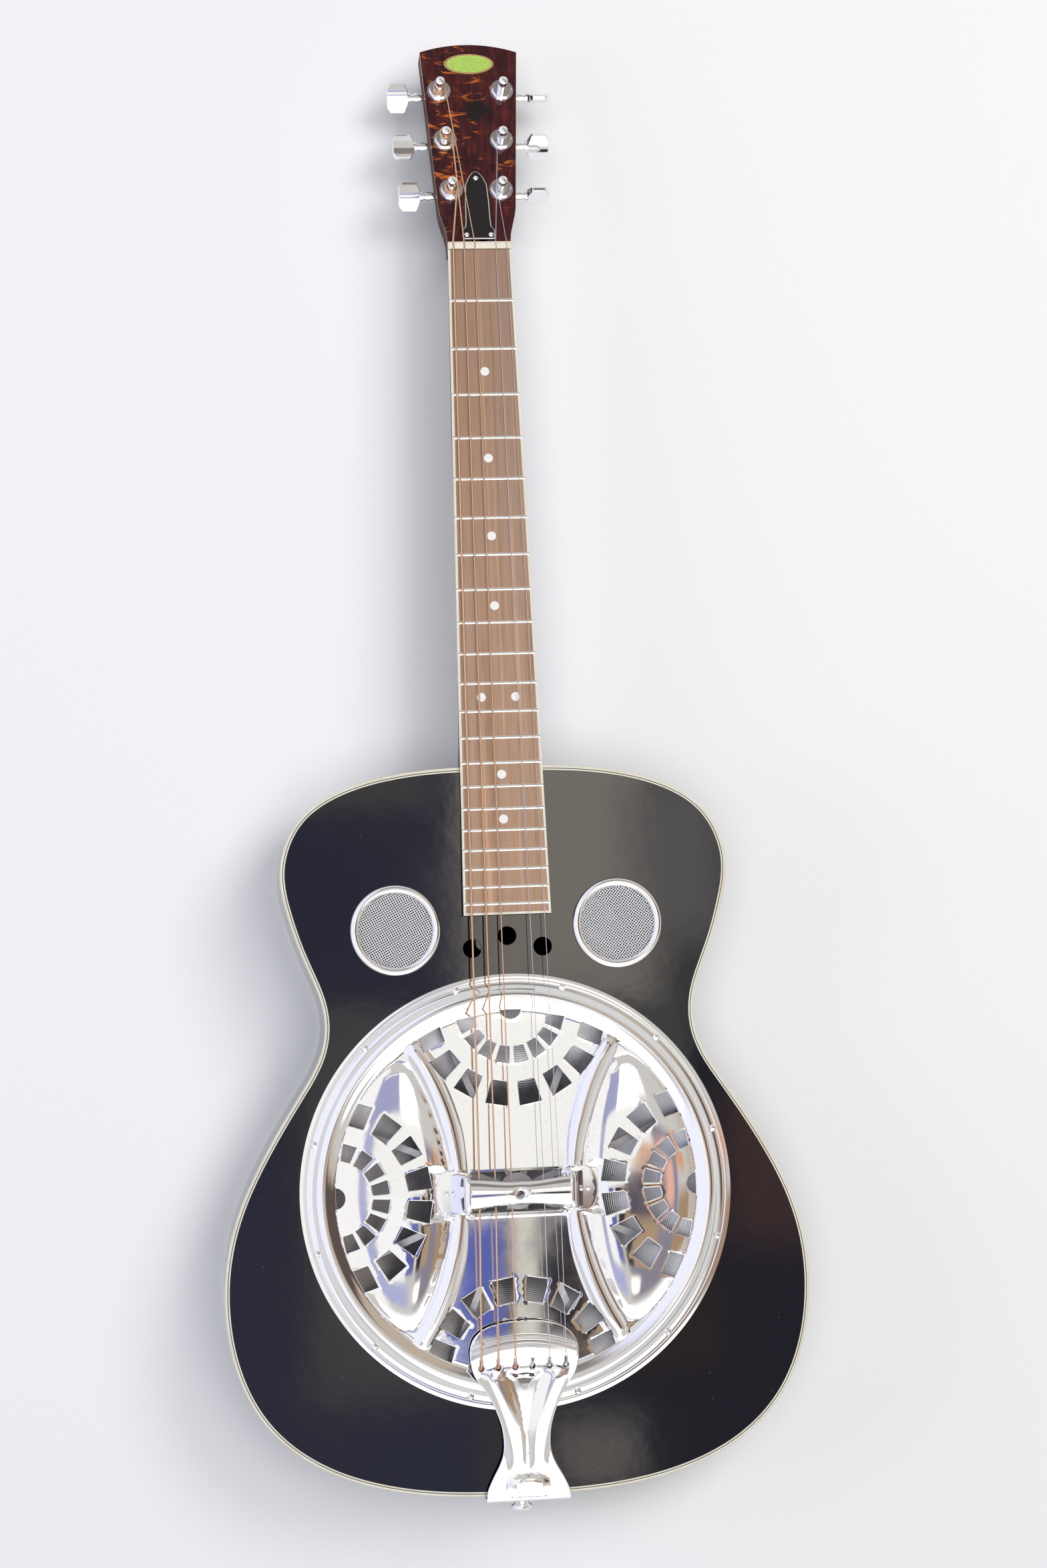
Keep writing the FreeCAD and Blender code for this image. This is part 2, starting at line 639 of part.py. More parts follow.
def truss_rod_nut():
    hexagon = [(3.9 * math.cos(math.radians(60 * i)), 3.9 * math.sin(math.radians(60 * i))) for i in range(6)]
    body = polygon(hexagon).extrude(V(0, 0, 11))
    body = body.cut(Part.makeCylinder(2.4 + RUN, 30, V(0, 0, -5)))
    body.rotate(V(0, 0, 0), V(1, 0, 0), -90)
    body.translate(V(0, 10.5, -BOARD_T - 3.1))
    return on_neck(body)


def head_outline(thickness, z0, shrink=0.0):
    right = [(x - shrink, a) for x, a in HEAD_NECKING]
    corner = (HEAD_CORNER[0] - shrink, HEAD_CORNER[1] - shrink)
    side = spline([(x, a, z0) for x, a in right])
    side_l = spline([(-x, a, z0) for x, a in right])
    edges = [side, side_l,
             line((right[-1][0], right[-1][1], z0), (corner[0], corner[1], z0)),
             line((-right[-1][0], right[-1][1], z0), (-corner[0], corner[1], z0)),
             line((-right[0][0], right[0][1], z0), (right[0][0], right[0][1], z0)),
             Part.Arc(V(corner[0], corner[1], z0), V(0, HEAD_TOP - shrink, z0),
                      V(-corner[0], corner[1], z0)).toShape()]
    return Part.Face(Part.Wire(Part.__sortEdges__(edges))).extrude(V(0, 0, thickness))


def headstock_veneer():
    sheet = head_outline(HEAD_VENEER, -HEAD_VENEER)
    tools = [Part.makeCylinder(5.0, 10, V(x, a, -5)) for x, a in post_places().values()]
    sheet = on_head(cut(sheet, tools))
    return cut(sheet, [on_neck(box(-60, 60, -60, NUT_LEN, -30, 30))] + truss_channel() + cover_screw_bores())


def truss_cover():
    right = [(10.9, 1.2), (11.1, 8.2), (8.9, 10.6), (8.5, 16), (8.2, 30),
             (7.4, 42), (5.2, 47.4), (2.4, 51.2), (0, 52.4)]
    pts = right + mirror_x(right[:-1])
    blank = polygon(pts).extrude(V(0, 0, 1.5))
    bevel = blank.makeChamfer(0.6, [e for e in blank.Edges if e.BoundBox.ZMin > 1.4])
    holes = [Part.makeCylinder(0.9, 10, V(x, a, -5)) for x, a in TRUSS_SCREWS]
    return cut(on_head(cut(bevel, holes)), [on_neck(box(-60, 60, -60, NUT_LEN + 0.1, -30, 30))])


TRUSS_SCREWS = ((0, 47.0), (-8.3, 4.4), (8.3, 4.4))


def cover_screw_bores():
    return [on_head(Part.makeCylinder(0.9, 8, V(x, a, -6))) for x, a in TRUSS_SCREWS]


def head_screws():
    out = [on_head(slot_screw(x, a, 1.5, 1.7, 0.9, 0.9, 3.5)) for x, a in TRUSS_SCREWS]
    for key, (x, a) in post_places().items():
        out.append(on_head(rod(1.0, (x, a - 9.2, -HEAD_T - 3.6), (x, a - 9.2, -HEAD_T)).fuse(
            Part.makeCylinder(1.9, 1.0, V(x, a - 9.2, -HEAD_T - 4.6)))))
    return Part.makeCompound(out)


def badge():
    oval = Part.Face(Part.Wire([Part.Ellipse(V(0, 135, 0), 17.3, 7.6).toShape()])).extrude(V(0, 0, 0.9))
    return on_head(oval)


def taper_strip(y0, y1, inset0, inset1, z0, z1):
    """Board-shaped slab between two distances below the nut, inset from the bound edge."""
    a = board_half(y0)
    b = board_half(y1)
    return polygon([(-(a - inset0), -y0), (a - inset0, -y0), (b - inset1, -y1), (-(b - inset1), -y1)],
                   z0).extrude(V(0, 0, z1 - z0))


def fingerboard():
    wood = taper_strip(0, BOARD_LEN - BOARD_EDGE, BOARD_EDGE, BOARD_EDGE, -BOARD_T, 0)
    tools = [fret_tang(n) for n in range(1, FRETS + 1)] + marker_solids()
    return on_neck(cut(wood, tools))


def board_binding():
    full = taper_strip(0, BOARD_LEN, 0, 0, -BOARD_T, 0)
    return on_neck(full.cut(taper_strip(0, BOARD_LEN - BOARD_EDGE, BOARD_EDGE, BOARD_EDGE, -9, 5)))


def fret_tang(n):
    y = -fret_at(n)
    half = board_half(fret_at(n)) - BOARD_EDGE - 0.3
    return box(-half, half, y - 0.3, y + 0.3, -1.8, 0)


def frets():
    out = []
    for n in range(1, FRETS + 1):
        y = -fret_at(n)
        half = board_half(fret_at(n)) - 0.4
        round_top = Part.makeCylinder(1.3, 2 * half, V(-half, y, -0.45), V(1, 0, 0))
        crown = round_top.common(box(-60, 60, y - 2, y + 2, 0, 3))
        out.append(crown.fuse(fret_tang(n)).removeSplitter())
    return on_neck(Part.makeCompound(out))


def marker_solids():
    out = []
    for n in MARKER_FRETS:
        y = -(fret_at(n) + fret_at(n - 1)) / 2
        for x in ((-11.5, 11.5) if n == 12 else (0,)):
            out.append(Part.makeCylinder(MARKER_R, 1.2, V(x, y, -1.2)))
    return out


def nut():
    half = NUT_WIDTH / 2
    side = [V(-half, 0, -BOARD_T), V(-half, NUT_LEN, -BOARD_T), V(-half, NUT_LEN, 0.9),
            V(-half, 3.2, 1.9), V(-half, 0, 2.0)]
    block = Part.Face(Part.makePolygon(side + [side[0]])).extrude(V(NUT_WIDTH, 0, 0))
    spare = on_neck(Part.makeCylinder(0.35, 30, V(3.9, -10, NUT_RISE + 0.3), V(0, 1, 0)))
    slots = [string_path(n, 0.03) for n in STRINGS]
    lift = []
    for n in STRINGS:
        x, _, _, r, _ = STRINGS[n]
        lift.append(on_neck(box(x - r, x + r, -1, 7, NUT_RISE + 0.1, 6)))
    return cut(on_neck(block), slots + lift + [spare])


def riser():
    """Black wedge between the top and the raised end of the board."""
    y0 = neck_point(0, -BOARD_LEN + 1, 0).y
    y1 = NECK_END_Y - 20
    wedge = on_neck(taper_strip(340, BOARD_LEN - 1, 2.0, 2.0, -BOARD_T - 12, -BOARD_T))
    return wedge.common(box(-60, 60, y0, y1, BODY_DEPTH, 120))


# ================================================================ tuners
def post_places():
    """Post axes in the headstock plane; k1..k3 up the bass side, k4..k6 up the treble side."""
    out = {}
    for k in range(3):
        x = POST_FIRST[0] + POST_LEAN * POST_PITCH * k
        a = POST_FIRST[1] + POST_PITCH * k
        out["k%d" % (k + 1)] = (-x, a)
        out["k%d" % (k + 4)] = (x, a)
    return out


def side_of(key):
    return -1 if key in ("k1", "k2", "k3") else 1


def local_box(key, u0, u1, v0, v1, h0, h1):
    x, a = post_places()[key]
    s = side_of(key)
    xa, xb = sorted((x + s * u0, x + s * u1))
    return box(xa, xb, a + v0, a + v1, h0, h1)


def local_rod(key, radius, u0, u1):
    """Cylinder along the worm shaft axis of a tuner."""
    x, a = post_places()[key]
    s = side_of(key)
    return rod(radius, (x + s * u0, a + WORM_OFFSET, GEAR_Z), (x + s * u1, a + WORM_OFFSET, GEAR_Z))


def housing(key):
    x, a = post_places()[key]
    shell = local_box(key, -7.2, 8.6, -7.0, 10.0, -25.6, -HEAD_T)
    shell = shell.makeFillet(1.6, [e for e in shell.Edges if e.BoundBox.ZMax < -17])
    tab = Part.makeCylinder(2.9, 3.6, V(x, a - 9.2, -HEAD_T - 3.6))
    boss = local_rod(key, 3.0, 8.0, 12.4)
    inner = [Part.makeCylinder(4.7, 6.6, V(x, a, -22.6)),
             local_box(key, -5.2, 5.2, WORM_OFFSET - 2.6, WORM_OFFSET + 2.6, -22.6, -HEAD_T),
             Part.makeCylinder(PIVOT_R + RUN, 2.0, V(x, a, -24.4)),
             local_rod(key, SHAFT_R + RUN, 5.0, 13.0),
             local_rod(key, 0.9 + RUN, -6.4, -5.0),
             Part.makeCylinder(1.0, 8, V(x, a - 9.2, -HEAD_T - 5))]
    return cut(shell.fuse([tab, boss]), inner)


def bushing(key):
    x, a = post_places()[key]
    washer = Part.makeCylinder(8.1, 0.9, V(x, a, 0))
    turns = [math.radians(60 * i) for i in range(6)]
    pts = [(x + 6.9 * math.cos(t), a + 6.9 * math.sin(t)) for t in turns]
    hexagon = polygon(pts, 0.9).extrude(V(0, 0, 1.9))
    hexagon = hexagon.common(Part.makeCone(7.9, 5.6, 2.6, V(x, a, 0.9)))
    sleeve = Part.makeCylinder(4.95, 9.0, V(x, a, -9.0))
    return cut(washer.fuse([hexagon, sleeve]), [Part.makeCylinder(POST_R + RUN, 30, V(x, a, -20))])


def gear_blank():
    """Worm wheel about the Z axis with a tooth pointing along +Y, centred on GEAR_Z."""
    root = GEAR_PITCH_R - 0.62
    tip = GEAR_PITCH_R + 0.42
    pts = []
    for i in range(GEAR_TEETH):
        mid = 90 + 360.0 / GEAR_TEETH * i
        for r, half in ((root, 0.40), (GEAR_PITCH_R, 0.27), (tip, 0.13)):
            pts.append((r, mid - math.degrees(half / r)))
        for r, half in ((tip, 0.13), (GEAR_PITCH_R, 0.27), (root, 0.40)):
            pts.append((r, mid + math.degrees(half / r)))
    flat = [(r * math.cos(math.radians(t)), r * math.sin(math.radians(t))) for r, t in pts]
    return polygon(flat, GEAR_Z - 0.7).extrude(V(0, 0, 1.4))


def post(key):
    x, a = post_places()[key]
    lower = Part.makeCylinder(PIVOT_R, 24.2 - HEAD_T + 1, V(0, 0, -24.2))
    upper = Part.makeCylinder(POST_R, POST_TOP - 1.5 + HEAD_T - 0.6, V(0, 0, -HEAD_T + 0.6))
    cap = Part.makeSphere(4.2, V(0, 0, POST_TOP - 4.2)).common(
        Part.makeCylinder(POST_R, 3, V(0, 0, POST_TOP - 1.5)))
    body = fuse([lower, upper, cap, gear_blank()])
    body = body.cut(Part.makeCylinder(0.75, 10, V(-5, 0, 10.5), V(1, 0, 0)))
    body.translate(V(x, a, 0))
    return on_head(body)


def worm():
    """Single-start right-hand thread about Z, with a gap facing +X at height zero."""
    lead = math.pi * MODULE
    root = WORM_PITCH_R - 0.62
    tip = WORM_PITCH_R + 0.42
    turns = 5
    start = -2.5 * lead
    helix = Part.makeHelix(lead, turns * lead, root)
    pts = [V(root - 0.15, 0, -0.44), V(root, 0, -0.42), V(tip, 0, -0.13), V(tip, 0, 0.13), V(root, 0, 0.42),
           V(root - 0.15, 0, 0.44)]
    profile = Part.makePolygon(pts + [pts[0]])
    thread = Part.Wire(helix).makePipeShell([profile], True, True)
    thread.translate(V(0, 0, start))
    core = Part.makeCylinder(root, 9.6, V(0, 0, -4.8))
    return core.fuse(thread)


def button(angle):
    """Domed grip with a tapered shoulder growing along +X from its collar, turned about X."""
    half = [(0, 3.4), (2.6, GRIP_HALF_H), (GRIP_LENGTH - 2.8, GRIP_HALF_H), (GRIP_LENGTH, 6.4)]
    corners = [V(u, v, -5) for u, v in half + [(u, -v) for u, v in reversed(half)]]
    block = Part.Face(Part.makePolygon(corners + corners[:1])).extrude(V(0, 0, 10))
    upright = [e for e in block.Edges if e.BoundBox.ZLength > 9]
    block = block.makeFillet(1.9, upright)
    rim = GRIP_THICK / 2 - 2.3
    ends = [V(-1, v, n) for v, n in ((-11, rim), (11, rim), (11, -rim), (-11, -rim))]
    lens = Part.Wire([
        Part.Arc(ends[0], V(-1, 0, GRIP_THICK / 2), ends[1]).toShape(),
        line(ends[1], ends[2]),
        Part.Arc(ends[2], V(-1, 0, -GRIP_THICK / 2), ends[3]).toShape(),
        line(ends[3], ends[0])])
    grip = block.common(Part.Face(lens).extrude(V(GRIP_LENGTH + 2, 0, 0)))
    edges = [e for e in grip.Edges if e.BoundBox.ZLength < 5.5]
    grip = grip.makeFillet(0.7, edges)
    grip.rotate(V(0, 0, 0), V(1, 0, 0), angle)
    return grip


def knob(key):
    x, a = post_places()[key]
    s = side_of(key)
    thread = worm()
    thread.Placement = FreeCAD.Placement(
        V(x, a + WORM_OFFSET, GEAR_Z),
        FreeCAD.Rotation(V(0, -1, 0), V(0, 0, -1), V(1, 0, 0), "ZXY"))
    parts = [local_rod(key, SHAFT_R, 4.7, 13.2), local_rod(key, 0.9, -6.2, -4.6),
             local_rod(key, 3.6, 12.8, 16.2), local_rod(key, 2.7, 16.0, 18.4),
             local_rod(key, 3.9, 18.2, 20.6)]
    grip = button(BUTTON_ANGLES[key])
    if s < 0:
        grip.rotate(V(0, 0, 0), V(0, 0, 1), 180)
    grip.translate(V(x + s * 19.8, a + WORM_OFFSET, GEAR_Z))
    return on_head(fuse([thread, grip] + parts))


# ================================================================ strings
def winding_base(name):
    """Middle posts wind higher, so their strings clear the turns on the nut-end posts."""
    return 7.2 if STRINGS[name][4] in ("k2", "k5") else 3.0


def winding_turns(name):
    return {"string_6_low_e": 1, "string_5_a": 3, "string_4_d": 3}.get(name, 5)


def winding(name):
    """Stacked turns of a string round its post."""
    radius = STRINGS[name][3]
    x, a = post_places()[STRINGS[name][4]]
    turns = []
    step = radius * 1.9
    for i in range(winding_turns(name)):
        ring = Part.makeTorus(POST_R + 0.02 + radius, radius, V(x, a, winding_base(name) + radius + i * step))
        turns.append(ring)
    return on_head(fuse(turns))


def string_points(name):
    """Corner points of a string: post side, nut, saddle, tail slot; also the post data."""
    x_nut, x_saddle, x_tail, radius, key = STRINGS[name]
    x, a = post_places()[key]
    count = winding_turns(name)
    h = winding_base(name) + radius * 2 + (count - 1) * radius * 1.9 + radius + 0.3
    wrap = POST_R + 0.3 + radius
    inner = -side_of(key)
    nut_back = neck_point(x_nut, NUT_LEN, NUT_RISE - 0.2 + radius)
    local = head_place().inverse().multVec(nut_back)
    dx = local.x - x
    dy = local.y - a
    dist = math.hypot(dx, dy)
    base = math.atan2(dy, dx)
    spread = math.acos(wrap / dist)
    angles = (base + spread, base - spread)
    best = max(angles, key=lambda t: inner * math.cos(t))
    touch = head_point(x + wrap * math.cos(best), a + wrap * math.sin(best), h)
    nut_front = neck_point(x_nut, 0, NUT_RISE + radius)
    saddle = V(x_saddle, 0, SADDLE_Z + radius)
    hook = V(x_tail, TAIL_HOOK_Y + 1.2, TAIL_PLATE_Z + 3.2)
    drop = V(x_tail, TAIL_HOOK_Y, TAIL_PLATE_Z - 3.3)
    return touch, nut_back, nut_front, saddle, hook, drop, (x, a, h, wrap, best, inner)


def string_path(name, grow=0.0):
    radius = STRINGS[name][3] + grow
    touch, nut_back, nut_front, saddle, hook, drop, turn = string_points(name)
    pts = [touch, nut_back, nut_front, saddle, hook, drop]
    parts = [Part.makeCylinder(radius, (q - p).Length, p, q - p) for p, q in zip(pts, pts[1:])]
    parts += [Part.makeSphere(radius, p) for p in pts[:-1]]
    if grow == 0:
        parts.append(Part.makeSphere(2.1, drop))
    x, a, h, wrap, angle, inner = turn
    arc = Part.makeTorus(wrap, radius, V(0, 0, 0), V(0, 0, 1), -180, 180, 230)
    start = math.degrees(angle) if inner < 0 else math.degrees(angle) - 230
    arc.rotate(V(0, 0, 0), V(0, 0, 1), start if inner > 0 else start)
    if inner > 0:
        arc.rotate(V(0, 0, 0), V(0, 0, 1), 230)
    else:
        arc.rotate(V(0, 0, 0), V(0, 0, 1), -230)
    arc.translate(V(x, a, h))
    return fuse(parts + [on_head(arc)])


# ================================================================ assembly
def build():
    nodes = body_nodes()
    nodes["soundwell"] = soundwell()
    nodes["resonator_cone"] = cone()
    nodes["spider_bridge"] = spider().cut(spider_screw_bore())
    nodes["bridge_saddles"] = saddles()
    nodes["spider_screw"] = spider_screw()
    nodes["coverplate"] = coverplate()
    nodes["palm_rest"] = palm_rest()
    nodes["cover_screws"] = cover_screws()
    nodes["sound_hole_rings"] = screen_rings()
    nodes["sound_hole_screens"] = screens()
    nodes["tailpiece"] = tailpiece()
    nodes["tailpiece_screws"] = tail_screws()
    nodes["strap_button"] = strap_button()
    nodes["neck"] = neck_wood()
    nodes["neck_bolts"] = neck_bolts()
    nodes["fingerboard_riser"] = riser()
    nodes["headstock_veneer"] = headstock_veneer()
    nodes["headstock_badge"] = badge()
    nodes["fingerboard"] = fingerboard()
    nodes["fingerboard_binding"] = board_binding()
    nodes["frets"] = frets()
    nodes["position_markers"] = on_neck(Part.makeCompound(marker_solids()))
    nodes["nut"] = nut()
    nodes["truss_rod"] = truss_rod()
    nodes["truss_rod_nut"] = truss_rod_nut()
    nodes["truss_rod_cover"] = truss_cover()
    nodes["headstock_screws"] = head_screws()
    keys = sorted(post_places())
    nodes["tuner_housings"] = on_head(Part.makeCompound([housing(k) for k in keys]))
    nodes["tuner_bushings"] = on_head(Part.makeCompound([bushing(k) for k in keys]))
    for k in keys:
        nodes["tuner_%s_knob" % k] = knob(k)
        nodes["tuner_%s_post" % k] = post(k)
    for name in STRINGS:
        nodes[name] = string_path(name)
        nodes["winding_" + name.split("_", 1)[1]] = winding(name)
    return nodes


def main():
    os.makedirs("parts", exist_ok=True)
    nodes = build()
    for name, shape in sorted(nodes.items()):
        solids = shape.Solids
        out = solids[0] if len(solids) == 1 else Part.makeCompound(solids)
        out.exportStep("parts/%s.step" % name)
        print("%-24s %3d solids %12.1f mm3 valid=%s" % (name, len(solids), out.Volume, out.isValid()))
    print(len(nodes), "nodes")


main()
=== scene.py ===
"""Resonator guitar: visual pieces, materials, studio and camera."""
import math

import bmesh
import bpy
import numpy as np
from mathutils import Matrix, Vector, geometry, kdtree


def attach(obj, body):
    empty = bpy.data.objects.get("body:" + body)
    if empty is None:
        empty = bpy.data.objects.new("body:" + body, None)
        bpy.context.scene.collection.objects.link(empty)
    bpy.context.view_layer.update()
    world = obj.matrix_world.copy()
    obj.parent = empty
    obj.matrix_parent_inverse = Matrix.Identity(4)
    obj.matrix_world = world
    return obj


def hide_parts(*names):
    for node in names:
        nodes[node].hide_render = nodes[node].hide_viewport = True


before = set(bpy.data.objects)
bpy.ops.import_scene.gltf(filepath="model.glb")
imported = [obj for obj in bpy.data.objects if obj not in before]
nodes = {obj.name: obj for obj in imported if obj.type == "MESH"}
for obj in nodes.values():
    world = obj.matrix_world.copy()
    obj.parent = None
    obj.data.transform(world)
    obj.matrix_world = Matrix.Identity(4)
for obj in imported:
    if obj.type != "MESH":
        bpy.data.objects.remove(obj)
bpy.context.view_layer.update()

# Millimetres in the axes of the frame, as in the CAD.
MM = 0.001
TOP_Z = 86.0                # upper face of the body
BOARD_SLOPE = 0.041         # fall of the fingerboard towards the headstock
BOARD_RISE = 4.55           # board surface over the top where the neck leaves the body
SCALE = 635.0
NECK_END_Y = 281.3
NUT_Z = TOP_Z + BOARD_RISE - BOARD_SLOPE * (SCALE - NECK_END_Y)
HEAD_TILT = math.radians(11.34)
HEAD_Y = 641.0              # start of the headstock's face
HEAD_Z = NUT_Z - 1.5        # the face lies this much below the board at the nut
EYE = (-0.192, 0.1223, 1.9545)    # camera position in metres


def head_point(x, along, height):
    """Point over the headstock's face, in millimetres along it and out of it."""
    return np.array([x, HEAD_Y + along * math.cos(HEAD_TILT) + height * math.sin(HEAD_TILT),
                     HEAD_Z - along * math.sin(HEAD_TILT) + height * math.cos(HEAD_TILT)])


# --- node helpers
def opaque(colour):
    """A colour with full alpha; another node's output stays as it is."""
    return colour if hasattr(colour, "is_output") else (*colour, 1)


class Graph:
    """Small builder for a node tree. A socket takes a constant or another node's output."""

    def __init__(self, tree):
        self.tree = tree

    def fill(self, socket, value):
        if hasattr(value, "is_output"):
            self.tree.links.new(value, socket)
        else:
            socket.default_value = value

    def node(self, kind, sockets=(), **settings):
        n = self.tree.nodes.new(kind)
        for key, value in settings.items():
            setattr(n, key, value)
        for key, value in dict(sockets).items():
            self.fill(n.inputs[key], value)
        return n

    def math(self, op, a, b=0.0, clamp=False):
        return self.node("ShaderNodeMath", {0: a, 1: b}, operation=op, use_clamp=clamp).outputs[0]

    def axis(self, name, vector):
        return self.node("ShaderNodeSeparateXYZ", {0: vector}).outputs[name]

    def mix(self, fac, a, b):
        n = self.node("ShaderNodeMix", data_type="RGBA")
        sockets = {s.name: s for s in n.inputs if s.enabled}
        self.fill(sockets["Factor"], fac)
        self.fill(sockets["A"], opaque(a))
        self.fill(sockets["B"], opaque(b))
        return [s for s in n.outputs if s.enabled][0]

    def ramp(self, fac, stops):
        n = self.node("ShaderNodeValToRGB", {"Fac": fac})
        elements = n.color_ramp.elements
        while len(elements) < len(stops):
            elements.new(0.5)
        for element, (position, colour) in zip(elements, stops):
            element.position = position
            element.color = opaque(colour)
        return n.outputs["Color"]

    def span(self, value, lo, hi, out_lo, out_hi):
        limits = {"From Min": lo, "From Max": hi, "To Min": out_lo, "To Max": out_hi}
        return self.node("ShaderNodeMapRange", {"Value": value, **limits}).outputs["Result"]


class Shader(Graph):
    """Principled material with procedural textures in the object's coordinates."""

    def __init__(self, name, colour, rough, metal=0.0, **more):
        self.mat = bpy.data.materials.new(name)
        self.mat.use_nodes = True
        self.mat.diffuse_color = opaque(colour)
        super().__init__(self.mat.node_tree)
        self.bsdf = self.tree.nodes["Principled BSDF"]
        self.set("Base Color", opaque(colour))
        self.set("Roughness", rough)
        self.set("Metallic", metal)
        for key, value in more.items():
            self.set(key.replace("_", " "), value)
        self.coord = self.node("ShaderNodeTexCoord").outputs["Object"]

    def set(self, socket, value):
        self.fill(self.bsdf.inputs[socket], value)

    def mapped(self, scale=(1, 1, 1), rotation=(0, 0, 0), location=(0, 0, 0)):
        sockets = {"Vector": self.coord, "Scale": scale, "Rotation": rotation, "Location": location}
        return self.node("ShaderNodeMapping", sockets).outputs["Vector"]

    def noise(self, scale, detail=3.0, rough=0.5, vector=None, distortion=0.0):
        sockets = {"Vector": vector or self.coord, "Scale": scale, "Detail": detail, "Roughness": rough,
                   "Distortion": distortion}
        return self.node("ShaderNodeTexNoise", sockets).outputs["Fac"]

    def cells(self, scale):
        return self.node("ShaderNodeTexVoronoi", {"Vector": self.coord, "Scale": scale})

    def ripple(self, value, per_metre):
        """Fine ribs: the sine of a length."""
        return self.math("SINE", self.math("MULTIPLY", value, per_metre))

    def bump(self, height, strength, distance):
        sockets = {"Height": height, "Strength": strength, "Distance": distance}
        self.set("Normal", self.node("ShaderNodeBump", sockets).outputs["Normal"])


def scaled(colour, factor):
    return tuple(c * factor for c in colour)


# --- materials
# Near-black lacquer; the blue in it is painted reflection, a bluish sheen of the pale daylight.
LACQUER_BLACK_BLUE_SHEEN = (0.005, 0.005, 0.0095)
PLASTIC_BLACK = (0.012, 0.012, 0.012)
MAROON = (0.05, 0.008, 0.01)
BLOT_BLACK = (0.008, 0.006, 0.007)
BLOT = (0.003, 0.738)       # centre of the black blot on the headstock, in metres


def lacquer():
    """Black gloss whose slight blue tint is a painted sheen, with a faint haze and small specks of dust."""
    s = Shader("black_lacquer", LACQUER_BLACK_BLUE_SHEEN, 0.035, IOR=1.52)
    spots = s.cells(120)
    pick = s.math("GREATER_THAN", s.axis("X", spots.outputs["Color"]), 0.55)
    tiny = s.math("LESS_THAN", spots.outputs["Distance"], 0.03)
    dust = s.math("MULTIPLY", pick, tiny)
    s.set("Base Color", s.mix(dust, LACQUER_BLACK_BLUE_SHEEN, (0.22, 0.23, 0.27)))
    haze = s.span(s.noise(9, 4), 0.3, 0.75, 0.02, 0.07)
    s.set("Roughness", s.math("ADD", haze, s.math("MULTIPLY", dust, 0.4)))
    s.bump(s.noise(55, 2), 0.06, 0.0004)
    return s.mat


def chrome():
    """Mirror plating with slight smears, freckles and waviness."""
    tint = (0.88, 0.88, 0.89)
    s = Shader("chrome", tint, 0.04, 1.0)
    s.set("Roughness", s.span(s.noise(35, 4, 0.6), 0.35, 0.8, 0.02, 0.07))
    freckle = s.span(s.noise(420, 2), 0.62, 0.8, 0.0, 0.5)
    s.set("Base Color", s.mix(freckle, tint, scaled(tint, 0.72)))
    s.bump(s.noise(26, 2), 0.022, 0.0004)
    return s.mat


def metal(name, tint, rough, grain=(1, 1, 1), scale=600, depth=0.12, metallic=1.0):
    s = Shader(name, tint, rough, metallic)
    n = s.noise(scale, 3, 0.6, s.mapped(grain))
    s.set("Roughness", s.span(n, 0.3, 0.7, rough * 0.7, min(rough * 1.4, 1)))
    s.set("Base Color", s.mix(s.span(n, 0.3, 0.75, 0, 1), scaled(tint, 0.8), tint))
    s.bump(n, depth, 0.0002)
    return s.mat


def spun():
    """Turned rings about the resonator axis, with painted shade darkening the grooves of the rings."""
    s = Shader("spun_aluminium", (0.72, 0.72, 0.74), 0.3, 1.0)
    radius = s.node("ShaderNodeVectorMath", {0: s.mapped((1, 1, 0))}, operation="LENGTH")
    rings = s.ripple(radius.outputs["Value"], 5200.0)
    # Painted shade: the colour is darker where the rings dip.
    s.set("Base Color", s.mix(s.span(rings, -1, 1, 0, 1), (0.58, 0.58, 0.6), (0.8, 0.8, 0.82)))
    s.set("Roughness", s.span(s.noise(40, 3), 0.3, 0.7, 0.22, 0.4))
    s.bump(rings, 0.2, 0.0001)
    return s.mat


def timber(name, light, dark, grain_axis="Y", rough=0.45, shine=0.5):
    """Bare wood: broad bands along the grain and fine dark pores."""
    s = Shader(name, light, rough, Specular_IOR_Level=shine)
    along = {"X": (2.2, 60, 60), "Y": (60, 2.2, 60), "Z": (60, 60, 2.2)}[grain_axis]
    fine = tuple(c * (1 if c > 10 else 6) for c in along)
    broad = s.noise(1.0, 4, 0.6, s.mapped(along), 0.6)
    pore = s.noise(9.0, 3, 0.7, s.mapped(fine))
    middle = tuple((a + b) / 2 for a, b in zip(light, dark))
    base = s.ramp(broad, [(0.28, dark), (0.5, middle), (0.72, light)])
    pores = s.span(pore, 0.6, 0.72, 0.0, 0.55)
    s.set("Base Color", s.mix(pores, base, scaled(dark, 0.45)))
    s.set("Roughness", s.span(pore, 0.3, 0.7, rough * 0.85, min(rough * 1.2, 1)))
    s.bump(s.math("SUBTRACT", 1.0, pores), 0.15, 0.0002)
    return s.mat


